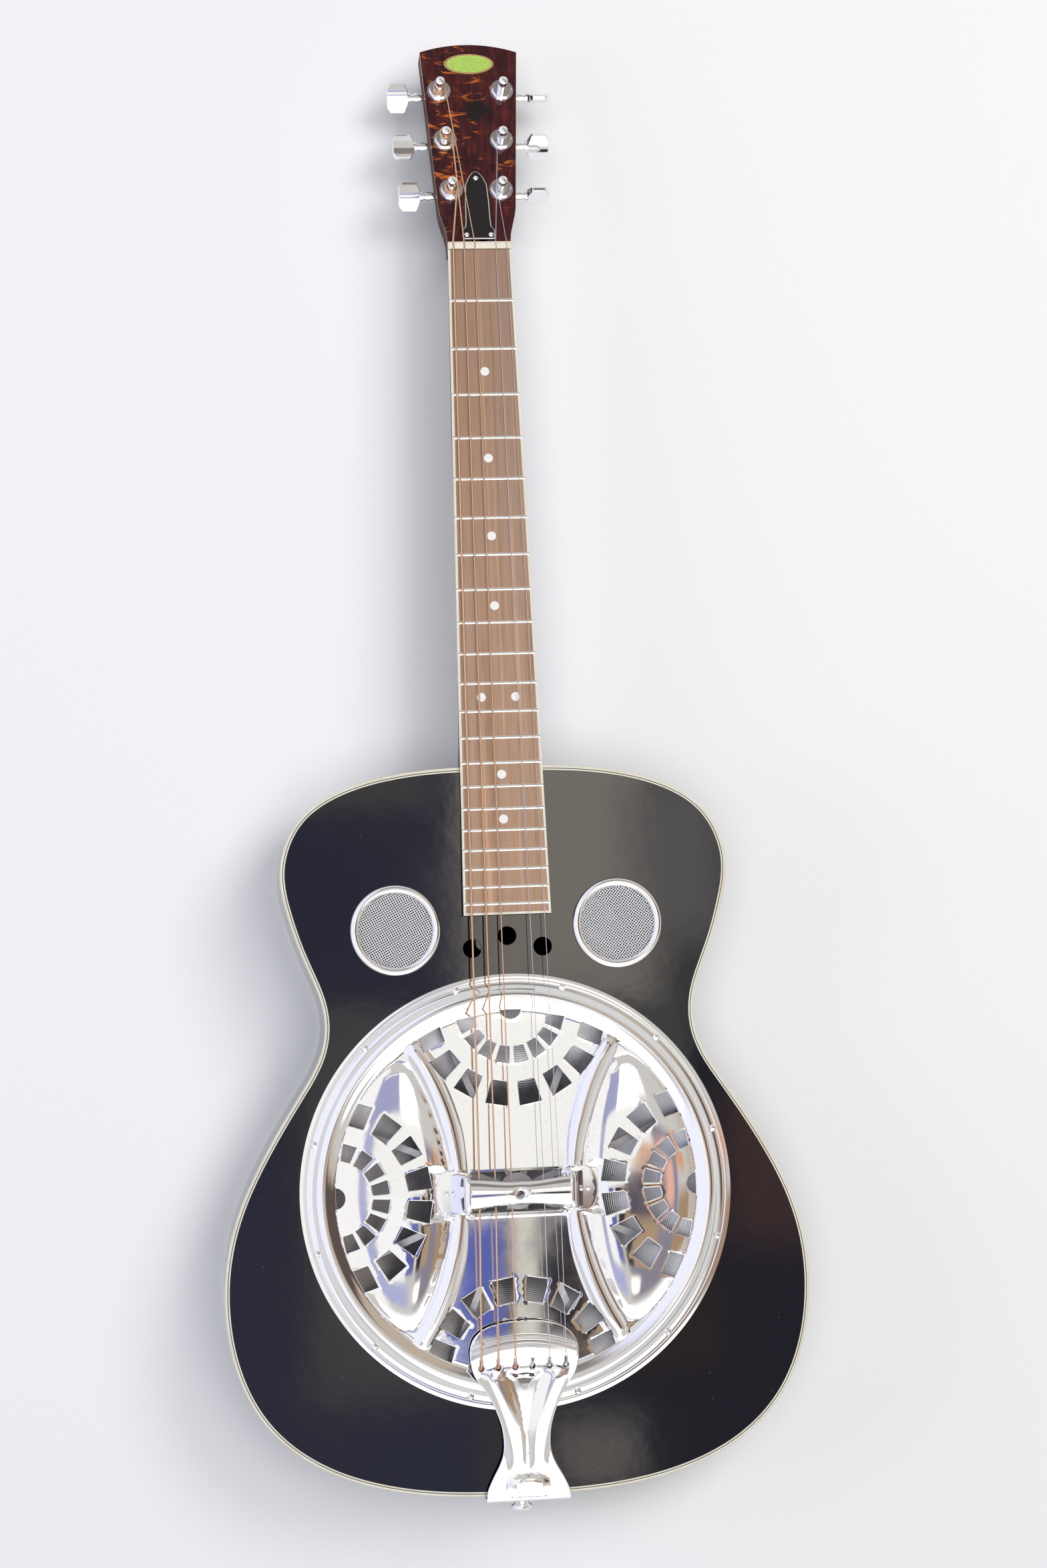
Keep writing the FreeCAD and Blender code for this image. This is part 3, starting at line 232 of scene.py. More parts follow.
def tortoise():
    """Dark maroon sheet with fine streaks, a few flame-coloured flakes and one black blot."""
    s = Shader("tortoise_veneer", MAROON, 0.07, Coat_Weight=0.4, Coat_Roughness=0.04)
    across = s.axis("X", s.coord)
    along = s.axis("Y", s.coord)
    streak = s.noise(70, 4, 0.7, s.mapped((4.0, 1.0, 1.0)), 0.3)
    base = s.ramp(streak, [(0.3, (0.012, 0.003, 0.005)), (0.5, (0.045, 0.006, 0.008)),
                           (0.7, (0.12, 0.014, 0.012))])
    fleck = s.noise(58, 5, 0.62, s.mapped((0.65, 1.9, 1.0), (0, 0, 0.45), (0.3, 0.1, 0.0)), 2.4)
    patch = s.noise(24, 2, 0.5, s.mapped(location=(1.31, 0.4, 0.2)))
    patch = s.math("SUBTRACT", patch, s.math("MULTIPLY", across, 3.0))
    flakes = s.math("MULTIPLY", s.span(fleck, 0.56, 0.64, 0, 1), s.span(patch, 0.46, 0.56, 0, 1))
    flame = s.mix(flakes, base, (0.62, 0.15, 0.016))
    squares = []
    for place, centre in ((across, BLOT[0]), (along, BLOT[1])):
        offset = s.math("SUBTRACT", place, centre)
        squares.append(s.math("MULTIPLY", offset, offset))
    spread = s.math("SQRT", s.math("ADD", *squares))
    ragged = s.math("ADD", spread, s.math("MULTIPLY", s.noise(90, 4, 0.6), 0.012))
    s.set("Base Color", s.mix(s.span(ragged, 0.012, 0.016, 0.95, 0.0), flame, BLOT_BLACK))
    s.set("Roughness", s.span(s.noise(90, 2), 0.3, 0.7, 0.05, 0.1))
    return s.mat


def rosewood():
    """Open-pored board in broad warm and grey streaks, darker towards the nut: painted shade in place of the
    sheen nearer the body.
    """
    s = Shader("rosewood", (0.36, 0.2, 0.13), 0.42)
    lane = s.noise(1.0, 3, 0.6, s.mapped((260, 2.0, 40)), 0.3)
    tone = s.ramp(lane, [(0.3, (0.27, 0.17, 0.115)), (0.45, (0.43, 0.26, 0.16)),
                         (0.55, (0.38, 0.255, 0.185)), (0.68, (0.58, 0.33, 0.19))])
    fine = s.noise(1.0, 3, 0.7, s.mapped((1500, 22, 200)))
    pores = s.span(fine, 0.56, 0.7, 0.0, 0.55)
    # Painted shade: the board darkens towards the nut, standing in for the sheen it catches nearer the body.
    shaded_towards_nut = s.mix(s.span(s.axis("Y", s.coord), 0.30, 0.60, 0.0, 0.3), tone, (0.13, 0.08, 0.06))
    s.set("Base Color", s.mix(pores, shaded_towards_nut, (0.12, 0.065, 0.05)))
    s.set("Roughness", s.span(fine, 0.3, 0.7, 0.34, 0.55))
    s.bump(s.math("SUBTRACT", 1.0, pores), 0.35, 0.0002)
    return s.mat


def ivory(name, tint):
    """Cream plastic or bone with faint clouds."""
    s = Shader(name, tint, 0.28, Coat_Weight=0.35, Coat_Roughness=0.08, Subsurface_Weight=0.08)
    s.set("Subsurface Radius", (0.002, 0.0015, 0.001))
    cloud = s.span(s.noise(60, 4, 0.6, s.mapped((1, 0.3, 1))), 0.35, 0.7, 0, 1)
    aged = tuple(c * f for c, f in zip(tint, (0.9, 0.86, 0.8)))
    s.set("Base Color", s.mix(cloud, tint, aged))
    return s.mat


def wound(name, tint):
    """Round-wound string: fine ribs along the length, with painted shade darkening the grooves between them."""
    s = Shader(name, tint, 0.26, 1.0)
    ribs = s.ripple(s.axis("Y", s.coord), 9000.0)
    # Painted shade: the colour is darker in the grooves between the turns.
    s.set("Base Color", s.mix(s.span(ribs, -1, 1, 0, 1), scaled(tint, 0.62), tint))
    s.bump(ribs, 0.5, 0.0001)
    return s.mat


def enamel():
    s = Shader("badge_enamel", (0.42, 0.62, 0.10), 0.3, Coat_Weight=0.3, Coat_Roughness=0.1)
    grain = s.span(s.noise(700, 3), 0.4, 0.7, 0, 1)
    s.set("Base Color", s.mix(grain, (0.38, 0.60, 0.09), (0.52, 0.70, 0.16)))
    return s.mat


def two_tone_cover():
    """Black faces with a pale bevel where the face leans between flat and upright."""
    s = Shader("black_plastic", PLASTIC_BLACK, 0.07, Coat_Weight=0.5, Coat_Roughness=0.03)
    sockets = {0: s.node("ShaderNodeNewGeometry").outputs["True Normal"],
               1: (0, math.sin(HEAD_TILT), math.cos(HEAD_TILT))}
    lean = s.node("ShaderNodeVectorMath", sockets, operation="DOT_PRODUCT").outputs["Value"]
    bevel = s.math("MULTIPLY", s.math("LESS_THAN", lean, 0.93), s.math("GREATER_THAN", lean, 0.3))
    s.set("Base Color", s.mix(bevel, PLASTIC_BLACK, (0.75, 0.73, 0.66)))
    s.set("Roughness", s.span(s.noise(80, 3), 0.3, 0.7, 0.05, 0.12))
    return s.mat


def pearl():
    s = Shader("pearl_dot", (0.85, 0.86, 0.84), 0.18, Coat_Weight=0.6)
    n = s.noise(380, 4, 0.6, distortion=1.5)
    s.set("Base Color", s.ramp(n, [(0.3, (0.72, 0.78, 0.82)), (0.5, (0.93, 0.92, 0.88)),
                                   (0.7, (0.85, 0.8, 0.82))]))
    return s.mat


MATS = {
    "lacquer": lacquer(),
    "chrome": chrome(),
    "binding": ivory("ivory_binding", (0.80, 0.78, 0.66)),
    "bone": ivory("bone", (0.86, 0.82, 0.7)),
    "line": Shader("purfling_line", (0.05, 0.045, 0.04), 0.4).mat,
    "inner": timber("bare_maple", (0.72, 0.55, 0.36), (0.56, 0.4, 0.24), rough=0.6),
    "spruce": timber("bare_spruce", (0.78, 0.62, 0.42), (0.66, 0.48, 0.3), "X", 0.65),
    "maple": timber("saddle_maple", (0.75, 0.6, 0.4), (0.6, 0.44, 0.27), "X", 0.5),
    "neck": timber("mahogany", (0.10, 0.035, 0.018), (0.045, 0.016, 0.01), "Y", 0.5, 0.12),
    "spun": spun(),
    "cast": metal("cast_aluminium", (0.62, 0.62, 0.64), 0.5, scale=300, depth=0.25),
    "mesh": metal("wire_mesh", (0.95, 0.95, 0.96), 0.42, scale=900, metallic=0.45),
    "gilt": metal("gilt_rim", (0.83, 0.62, 0.28), 0.22, scale=700),
    "fret": metal("fret_wire", (0.93, 0.92, 0.88), 0.2, (1, 30, 1), 400, 0.05),
    "steel": metal("steel", (0.5, 0.5, 0.52), 0.35),
    "brass": metal("brass", (0.75, 0.55, 0.25), 0.3),
    "plain": metal("plain_steel", (0.78, 0.78, 0.8), 0.15, (1, 0.02, 1), 800, 0.03),
    "bronze": wound("bronze_wound", (0.92, 0.60, 0.38)),
    "tortoise": tortoise(),
    "enamel": enamel(),
    "rosewood": rosewood(),
    "pearl": pearl(),
    "black": two_tone_cover(),
}
DRESS = {
    "lacquer": ("body_top", "body_back", "body_sides", "fingerboard_riser"),
    "inner": ("linings", "neck_block", "tail_block", "soundwell"),
    "spruce": ("braces",),
    "maple": ("bridge_saddles",),
    "spun": ("resonator_cone",),
    "cast": ("spider_bridge",),
    "chrome": ("coverplate", "palm_rest", "cover_screws", "sound_hole_rings", "tailpiece",
               "tailpiece_screws", "strap_button", "tuner_housings", "tuner_bushings",
               "headstock_screws", *("tuner_k%d_knob" % k for k in range(1, 7)),
               *("tuner_k%d_post" % k for k in range(1, 7))),
    "mesh": ("sound_hole_screens",),
    "neck": ("neck",),
    "tortoise": ("headstock_veneer",),
    "enamel": ("headstock_badge",),
    "rosewood": ("fingerboard",),
    "binding": ("body_binding", "fingerboard_binding"),
    "fret": ("frets",),
    "pearl": ("position_markers",),
    "bone": ("nut",),
    "steel": ("truss_rod", "neck_bolts", "spider_screw"),
    "brass": ("truss_rod_nut",),
    "black": ("truss_rod_cover",),
    "bronze": ("string_6_low_e", "string_5_a", "string_4_d", "winding_6_low_e", "winding_5_a", "winding_4_d"),
    "plain": ("string_2_b", "string_1_high_e", "winding_2_b", "winding_1_high_e"),
}


def dress(node, key):
    """Gives a CAD node its material."""
    mesh = nodes[node].data
    mesh.materials.clear()
    mesh.materials.append(MATS[key])
    mesh.polygons.foreach_set("material_index", [0] * len(mesh.polygons))


for key, members in DRESS.items():
    for member in members:
        dress(member, key)
CHROME = MATS["chrome"]


# --- mesh helpers
def add_object(name, verts, faces, mat, body="guitar", smooth_angle=40.0, normals=None):
    """Mesh from millimetre points, riding on a body."""
    mesh = bpy.data.meshes.new(name)
    mesh.from_pydata([tuple(np.asarray(v) * MM) for v in verts], [], faces)
    mesh.materials.append(mat)
    mesh.validate()
    mesh.update()
    mesh.polygons.foreach_set("use_smooth", [True] * len(mesh.polygons))
    if normals is not None:
        mesh.normals_split_custom_set_from_vertices([tuple(n) for n in normals])
    elif smooth_angle:
        mesh.set_sharp_from_angle(angle=math.radians(smooth_angle))
    o = bpy.data.objects.new(name, mesh)
    bpy.context.scene.collection.objects.link(o)
    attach(o, body)
    return o


def skin(rows, sides, ring=False, flip=False):
    """Faces between neighbouring rows of points; a ring also joins the last row to the first."""
    faces = []
    for i in range(rows if ring else rows - 1):
        here = i * sides
        there = (i + 1) % rows * sides
        for k in range(sides):
            m = (k + 1) % sides
            a, b, c, d = here + k, here + m, there + m, there + k
            faces.append((a, d, c, b) if flip else (a, b, c, d))
    return faces


def lathe(profile, centre=(0, 0), segments=96):
    """Vertices and faces of a profile of (radius, z) turned about a vertical axis; closed profile."""
    verts = []
    for i in range(segments):
        a = 2 * math.pi * i / segments
        verts += [(centre[0] + r * math.cos(a), centre[1] + r * math.sin(a), z) for r, z in profile]
    return verts, skin(segments, len(profile), True, True)


def tube(points, radius, sides=10):
    """Round tube through a list of points, with parallel-transported rings and closed ends."""
    pts = np.asarray(points, float)
    count = len(pts)
    tangents = np.gradient(pts, axis=0)
    tangents /= np.linalg.norm(tangents, axis=1)[:, None]
    up = np.array([0, 0, 1.0]) if abs(tangents[0][2]) < 0.9 else np.array([1.0, 0, 0])
    side = np.cross(tangents[0], up)
    side /= np.linalg.norm(side)
    verts = []
    for i in range(count):
        side = side - tangents[i] * side.dot(tangents[i])
        side /= np.linalg.norm(side)
        other = np.cross(tangents[i], side)
        for k in range(sides):
            a = 2 * math.pi * k / sides
            verts.append(pts[i] + radius * (math.cos(a) * side + math.sin(a) * other))
    last = (count - 1) * sides
    caps = [tuple(range(sides))[::-1], tuple(range(last, last + sides))]
    return verts, skin(count, sides) + caps


def merge(parts):
    """Joins several (verts, faces) into one."""
    verts = []
    faces = []
    for v, f in parts:
        base = len(verts)
        verts += [tuple(p) for p in v]
        faces += [tuple(i + base for i in face) for face in f]
    return verts, faces


def resample(loop, step):
    """Splits the sides of a closed loop into parts of about a step."""
    out = []
    n = len(loop)
    for i in range(n):
        a = np.array(loop[i], float)
        b = np.array(loop[(i + 1) % n], float)
        parts = max(1, int(round(np.linalg.norm(b - a) / step)))
        out += [tuple(a + (b - a) * k / parts) for k in range(parts)]
    return out


def inside(points, loop):
    """Even-odd test of many points against one loop."""
    x = points[:, 0]
    y = points[:, 1]
    result = np.zeros(len(points), bool)
    n = len(loop)
    for i in range(n):
        x0, y0 = loop[i]
        x1, y1 = loop[(i + 1) % n]
        if y0 == y1:
            continue
        crosses = (y0 > y) != (y1 > y)
        at = x0 + (y - y0) * (x1 - x0) / (y1 - y0)
        result ^= crosses & (x < at)
    return result


def signed_area(loop):
    p = np.asarray(loop)
    q = np.roll(p, -1, 0)
    return 0.5 * float((p[:, 0] * q[:, 1] - q[:, 0] * p[:, 1]).sum())


def thin_out(points, gap):
    """Drops every point that lies within gap of an earlier one."""
    cells = {}
    kept = []
    for x, y in points:
        i, j = int(math.floor(x / gap)), int(math.floor(y / gap))
        near = [q for a in (-1, 0, 1) for b in (-1, 0, 1) for q in cells.get((i + a, j + b), ())]
        if all((x - u) ** 2 + (y - v) ** 2 > gap * gap for u, v in near):
            cells.setdefault((i, j), []).append((x, y))
            kept.append((x, y))
    return np.array(kept)


def inside_sheet(points, loops):
    """True for points inside the outer loop and outside every hole."""
    keep = inside(points, loops[0])
    for hole in loops[1:]:
        keep &= ~inside(points, hole)
    return keep


def search_tree(points):
    tree = kdtree.KDTree(len(points))
    for i, (x, y) in enumerate(points):
        tree.insert((x, y, 0), i)
    tree.balance()
    return tree


def distances(tree, points):
    return np.array([tree.find((x, y, 0))[2] for x, y in points])


def outward(loop):
    """Unit normals of a closed loop that has its sheet on the left."""
    p = np.asarray(loop)
    along = np.roll(p, -1, 0) - np.roll(p, 1, 0)
    along /= np.linalg.norm(along, axis=1)[:, None] + 1e-12
    return np.stack([along[:, 1], -along[:, 0]], 1)


def sheet_points(loops, guides, edge, roll, step):
    """Inner points of a sheet: two rows beside each edge, the guides and a staggered grid."""
    ring = np.concatenate([np.asarray(lp) - outward(lp) * d for lp in loops for d in (0.35 * roll, roll)])
    ring = ring[inside_sheet(ring, loops)]
    low = np.min(loops[0], axis=0)
    high = np.max(loops[0], axis=0)
    xs = np.arange(low[0], high[0], step)
    ys = np.arange(low[1], high[1], step * 0.87)
    grid = np.array([(x + (0.5 * step if k % 2 else 0), y) for k, y in enumerate(ys) for x in xs])
    grid = grid[inside_sheet(grid, loops)]
    grid = grid[distances(edge, grid) > roll + 0.35 * step]
    if len(guides):
        extra = np.array(guides)
        extra = extra[inside_sheet(extra, loops)]
        extra = extra[distances(edge, extra) > roll + 0.45]
        extra = thin_out(extra, 0.75)
        grid = grid[distances(search_tree(extra), grid) > 0.6 * step]
        grid = np.concatenate([extra, grid])
    return np.concatenate([ring, grid])


def triangulate(loops, inner):
    """Points and triangles of a flat sheet, and the numbers of the points on each loop."""
    coords = [Vector(p) for lp in loops for p in lp] + [Vector(p) for p in inner]
    rims = []
    base = 0
    for lp in loops:
        rims.append(list(range(base, base + len(lp))))
        base += len(lp)
    edges = [pair for rim in rims for pair in zip(rim, rim[1:] + rim[:1])]
    points, _, faces, sources = geometry.delaunay_2d_cdt(coords, edges, [], 0, 1e-5)[:4]
    points = np.array([tuple(v) for v in points])
    faces = np.array([f for f in faces if len(f) == 3])
    faces = faces[inside_sheet(points[faces].mean(1), loops)]
    place = {old: new for new, olds in enumerate(sources) for old in olds}
    return points, faces, [[place.get(i, i) for i in rim] for rim in rims]


def pressed_sheet(name, outer, holes, height, thick, step, mat, roll=0.5, guides=()):
    """Thin sheet with holes over a height field, edges rolled over, normals taken from the field.

    Guides are extra points that follow the creases of the field."""
    loops = [outer] + list(holes)
    loops = [lp if (signed_area(lp) > 0) == (i == 0) else lp[::-1] for i, lp in enumerate(loops)]
    loops = [resample(lp, step if i == 0 else min(step, 1.6)) for i, lp in enumerate(loops)]
    edge = search_tree([p for lp in loops for p in resample(lp, 0.4)])
    pts, tris, rims = triangulate(loops, sheet_points(loops, guides, edge, roll, step))

    def surface(p):
        t = np.clip(1 - distances(edge, p) / roll, 0, 1)
        return height(p[:, 0], p[:, 1]) - roll * 0.8 * (1 - np.sqrt(1 - 0.98 * t * t))

    def slope(dx, dy):
        return (surface(pts + (dx, dy)) - surface(pts - (dx, dy))) / (2 * (dx + dy))

    z = surface(pts)
    up = np.stack([-slope(0.05, 0), -slope(0, 0.05), np.ones(len(pts))], 1)
    sideways = {}
    for lp, rim in zip(loops, rims):
        for v, (nx, ny) in zip(rim, outward(lp)):
            sideways[v] = np.array([nx, ny, 0])
            up[v] = sideways[v] * 1.2 + (0, 0, 1)
    up /= np.linalg.norm(up, axis=1)[:, None]
    count = len(pts)
    under = np.minimum(height(pts[:, 0], pts[:, 1]) - thick, z - 0.2 * thick)
    verts = [(x, y, h) for heights in (z, under) for (x, y), h in zip(pts, heights)]
    normals = list(up) + list(-up)
    faces = [tuple(f) for f in tris] + [(a + count, c + count, b + count) for a, b, c in tris]
    wall = {}
    for v, normal in sideways.items():
        wall[v] = len(verts)
        verts += [verts[v], verts[v + count]]
        normals += [normal, normal]
    for rim in rims:
        for a, b in zip(rim, rim[1:] + rim[:1]):
            faces.append((wall[a], wall[a] + 1, wall[b] + 1, wall[b]))
    return add_object(name, verts, faces, mat, smooth_angle=None, normals=normals)


def circle(x, y, r, n):
    return [(x + r * math.cos(2 * math.pi * i / n), y + r * math.sin(2 * math.pi * i / n)) for i in range(n)]


def turn(points, degrees):
    c = math.cos(math.radians(degrees))
    s = math.sin(math.radians(degrees))
    return [(x * c - y * s, x * s + y * c) for x, y in points]


def smooth(t):
    """Smooth step from 0 to 1."""
    t = np.clip(t, 0, 1)
    return t * t * (3 - 2 * t)


def curve_z(r, knots):
    """Smooth curve through the knots of a radial profile, flat where two neighbours are level."""
    xs = np.array([k[0] for k in knots])
    zs = np.array([k[1] for k in knots])
    slopes = np.gradient(zs, xs)
    level = np.diff(zs) == 0
    slopes[:-1][level] = 0
    slopes[1:][level] = 0
    i = np.clip(np.searchsorted(xs, r, side="right") - 1, 0, len(xs) - 2)
    h = xs[i + 1] - xs[i]
    t = np.clip((r - xs[i]) / h, 0, 1)
    a = zs[i] * (1 + 2 * t) * (1 - t) ** 2 + zs[i + 1] * t * t * (3 - 2 * t)
    return a + h * t * (1 - t) * (slopes[i] * (1 - t) - slopes[i + 1] * t)


# --- coverplate
COVER_R = 142.8
FAN_OFFSET = 120.0          # centre of each fan of slots, from the axis
FAN_ANGLES = (10.3, 31.0, 51.5, 72.0)
FAN_ROWS = ((25, 36, 3.2, 4.6), (48.2, 63.8, 5.6, 7.4))    # near, far, half width at each
RIDGE_X = 215.5             # centre of the arc that each ridge follows
RIDGE_R = 178.0
RIDGE_H = 3.7
RIDGE_W = 6.8               # widest half width of a ridge
DOME_H = 1.75
DOME_RUN = 15.6             # a dome is level this far inside its edges
DOME_END_Y = 88.0
RING_IN = 121.0             # ridges and domes end here, where the raised ring starts
PANEL_DROP = 0.9
LIP_H = 2.2                 # raised lip below the bridge window
LIP_Y = -14.8
LIP_END = 49.0
WINDOW = [(-29.5, -12.5), (29.5, -12.5), (29.5, 13.0), (-29.5, 13.0)]
# Radius and height over the top, from the middle to the edge.
RIM = [(0, 3.2), (117.0, 3.2), (119.5, 3.45), (123.0, 4.75), (126.0, 5.75), (128.6, 6.05), (131.0, 5.1),
       (133.6, 2.9), (135.4, 1.55), (136.8, 1.1), (140.6, 1.0), (142.8, 0.85)]
PLATE_R = 120.4             # the lathe-turned rim takes over from the pressed middle here


def ridge_half(y):
    """Half width of a ridge at a distance up or down from the bridge."""
    return 5.2 + 1.6 * smooth((np.abs(y) - 12) / 35) - 3.2 * smooth((np.abs(y) - 84) / 26)


def dome(ax, y, r, gap):
    """Low dome between a ridge and the raised ring, cut off above and below."""
    near = [np.clip(d, 0.01, None) for d in (-gap - 7.0, RING_IN - r, DOME_END_Y - np.abs(y))]
    share = np.clip(1 / (1 / near[0] + 1 / near[1] + 1 / near[2]) / DOME_RUN, 0, 1)
    return DOME_H * share * (2 - share) * smooth(share * 5) * (ax > 30)


def cover_height(x, y):
    """Flat panels between two rounded ridges, a low dome on each side, and a raised ring round them."""
    r = np.hypot(x, y)
    ax = np.abs(x)
    rim = curve_z(r, RIM)
    gap = np.hypot(ax - RIDGE_X, y) - RIDGE_R
    width = ridge_half(y)
    bead = RIDGE_H * (width / RIDGE_W) * np.clip(1 - (gap / width) ** 2, 0, 1) ** 1.1
    ends = smooth((RING_IN - r) / 7.0)
    flat = 1 - smooth((15.5 - np.abs(y)) / 3.0) * smooth((56 - ax) / 3.0)
    landing = 1 - smooth((18.5 - np.abs(y)) / 5.0) * smooth((60 - ax) / 6.0)
    sunk = -PANEL_DROP * smooth((gap - width) / 2.2) * smooth((116.5 - r) / 3.0)
    lip = LIP_H * smooth((2.3 - np.abs(y - LIP_Y)) / 1.2) * smooth((48 - ax) / 1.5)
    z = rim + ends * bead * flat + dome(ax, y, r, gap) * landing + sunk * (r < 118)
    return TOP_Z + np.maximum(z, (rim + lip) * (ax < LIP_END))


def cover_guides():
    """Points along the circles of the rim, the two sides of each ridge and the lip."""
    shares = (-1.18, -1.0, -0.86, -0.64, -0.4, -0.14, 0.14, 0.4, 0.64, 0.86, 1.0, 1.16, 1.34, 1.55)
    points = []
    for r in (115.2, 116.4, 117.6, 118.8):
        points += circle(0, 0, r, 240)
    for side in (-1, 1):
        for share in shares:
            for a in np.linspace(-0.66, 0.66, 84):
                radius = RIDGE_R + share * float(ridge_half(RIDGE_R * math.sin(a)))
                points.append((side * (RIDGE_X - radius * math.cos(a)), radius * math.sin(a)))
    for y in (-17.4, -16.6, -15.6, -14.0, -13.2):
        points += [(x, y) for x in np.linspace(-LIP_END, LIP_END, 50)]
    return points


def fan_holes():
    """Four fans, each of a half disc and two rows of slots that widen outwards."""
    loops = [[(7.0 * math.cos(a), 7.0 * math.sin(a)) for a in np.linspace(-math.pi / 2, math.pi / 2, 20)]]
    for angle in FAN_ANGLES:
        for sign in (-1, 1):
            for near, far, h0, h1 in FAN_ROWS:
                loops.append(turn([(near, -h0), (far, -h1), (far, h1), (near, h0)], sign * angle))
    return [turn([(FAN_OFFSET - x, -y) for x, y in lp], 90 * k) for k in range(4) for lp in loops]


def coverplate():
    """Pressed middle, and over its edge one turned ring with the raised bead and the flat flange."""
    step = 2.6
    middle = pressed_sheet("coverplate_pressed", circle(0, 0, PLATE_R, 220), fan_holes() + [WINDOW],
                           cover_height, 1.0, step, CHROME, 0.45, cover_guides())
    inner = np.arange(PLATE_R - 1.2, COVER_R - 0.3, 0.45)
    radii = np.concatenate([inner, [COVER_R - 0.25, COVER_R - 0.08]])
    upper = TOP_Z + 0.03 + curve_z(radii, RIM)
    lower = np.maximum(upper - 1.0, TOP_Z)
    profile = list(zip(radii, upper)) + [(COVER_R, TOP_Z + 0.7), (COVER_R, TOP_Z)]
    profile += [(r, z) for r, z in zip(radii[-3::-1], lower[-3::-1])]
    verts, faces = lathe(profile[::-1], segments=288)
    ring = add_object("coverplate_rim", verts, faces, CHROME, smooth_angle=50)
    for piece in (middle, ring):
        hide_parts("coverplate")


coverplate()


# --- bridge cover
def weld(o, sharp_degrees):
    """Joins points that coincide, turns the faces outwards and marks the sharp edges."""
    mesh = o.data
    bm = bmesh.new()
    bm.from_mesh(mesh)
    bmesh.ops.remove_doubles(bm, verts=bm.verts, dist=1e-6)
    bmesh.ops.recalc_face_normals(bm, faces=bm.faces)
    bm.to_mesh(mesh)
    bm.free()
    mesh.polygons.foreach_set("use_smooth", [True] * len(mesh.polygons))
    mesh.update()
    mesh.set_sharp_from_angle(angle=math.radians(sharp_degrees))


def loft(name, stations, mat, sides=40):
    """Superellipse sections across Y and Z, joined along X and rounded by subdivision.

    A station is (x, half width, lower and upper height over the top, squareness)."""
    verts = []
    for x, w, z0, z1, n in stations:
        for k in range(sides):
            a = 2 * math.pi * (k + 0.5) / sides
            c = math.cos(a)
            d = math.sin(a)
            verts.append((x, w * math.copysign(abs(c) ** (2 / n), c),
                          TOP_Z + (z0 + z1) / 2 + (z1 - z0) / 2 * math.copysign(abs(d) ** (2 / n), d)))
    last = (len(stations) - 1) * sides
    caps = [tuple(range(sides)), tuple(range(last, last + sides))[::-1]]
    o = add_object(name, verts, skin(len(stations), sides, flip=True) + caps, mat, smooth_angle=None)
    weld(o, 70)
    soft = o.modifiers.new("round", "SUBSURF")
    soft.levels = 2
    soft.render_levels = 2
    return o


def bar_half(x):
    """Half width of the barrel bar, which is waisted in the middle."""
    return 7.5 + 2.2 * smooth((np.abs(x) - 4) / 30)


def bar_height(x, y):
    """Barrel with a dimple round the hole over the tension screw."""
    share = np.clip(np.abs(y) / bar_half(x), 0, 1)
    dimple = 0.8 * np.exp(-((x ** 2 + (y + 1) ** 2) / 12.0))
    return TOP_Z + 27.5 - 2.6 * share ** 2.6 - dimple


# Stations of a cheek: x, half width, lower and upper height over the top, squareness.
CHEEK = [(32.6, 10.6, 23.4, 28.0, 3.4), (33.0, 12.2, 4.4, 28.1, 5.5), (35.2, 12.7, 4.0, 28.1, 6.0),
         (36.8, 12.7, 4.0, 26.6, 6.0), (38.6, 12.6, 3.9, 22.0, 5.5), (40.6, 12.4, 3.8, 16.0, 5.0),
         (42.6, 12.2, 3.8, 10.0, 5.0), (44.0, 12.0, 3.8, 5.6, 4.0)]
FOOT_RISE = 4.7


def foot_height(x, y):
    return np.full_like(x, TOP_Z + FOOT_RISE)


def bridge_cover():
    """Barrel bar over the saddles with a sloping cheek and a rounded foot at each end."""
    xs = np.linspace(-34.0, 34.0, 37)
    halves = [float(h) for h in bar_half(xs)]
    loop = [(x, -h) for x, h in zip(xs, halves)] + [(x, h) for x, h in zip(xs[::-1], halves[::-1])]
    hole = circle(0, -1, 2.4, 24)
    pieces = [pressed_sheet("bridge_cover_bar", loop, [hole], bar_height, 3.2, 1.6, CHROME, 1.3)]
    for s, side in ((-1, "bass"), (1, "treble")):
        stations = [(s * x, *rest) for x, *rest in CHEEK][::s]
        pieces.append(loft("bridge_cover_cheek_" + side, stations, CHROME))
        arc = [(s * (44.5 + 9.0 * math.cos(a)), 15.5 * math.sin(a)) for a in np.linspace(-1.5, 1.5, 27)]
        loop = [(s * 30.2, -12.4), (s * 38.0, -14.6)] + arc + [(s * 38.0, 14.6), (s * 30.2, 12.4)]
        foot = pressed_sheet("bridge_cover_foot_" + side, loop, [], foot_height, 1.4, 2.5, CHROME, 1.0)
        pieces.append(foot)
    for piece in pieces:
        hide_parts("palm_rest")


bridge_cover()


# --- tailpiece
TAIL_HALF = [(0, -83.8), (12, -84.4), (24, -87.4), (31.8, -93), (35.3, -100.5), (35.4, -109.5),
             (33.0, -118.5), (27.4, -127), (21.6, -137.2), (17.0, -149.5), (15.4, -159.6), (15.7, -168.5),
             (18.2, -176), (23.6, -186), (26.8, -193.4), (27.4, -199.4)]
TAIL_CUT = [(-9.6, -117.2), (-5.0, -121.6), (-0.9, -127.0), (0.9, -127.0), (5.0, -121.6), (9.6, -117.2),
            (5.4, -118.2), (0, -117.4), (-5.4, -118.2)]
TAIL_SLOTS = (-28.4, -17.2, -6.0, 5.2, 16.4, 27.2)
HOOK_Y = -113.5
CROWN_BEND = 170            # radius of the crown's steps
CROWN_ROWS = (-86.5, -89.5, -92.0, -92.8, -93.6, -94.4, -95.6, -96.4, -97.2, -98.2, -100.5, -103.0,
              -105.5, -108.2, -109.6, -111.0)
TAIL_END_Y = -201.0
APRON_HALF = 27.3           # half width of the bent end
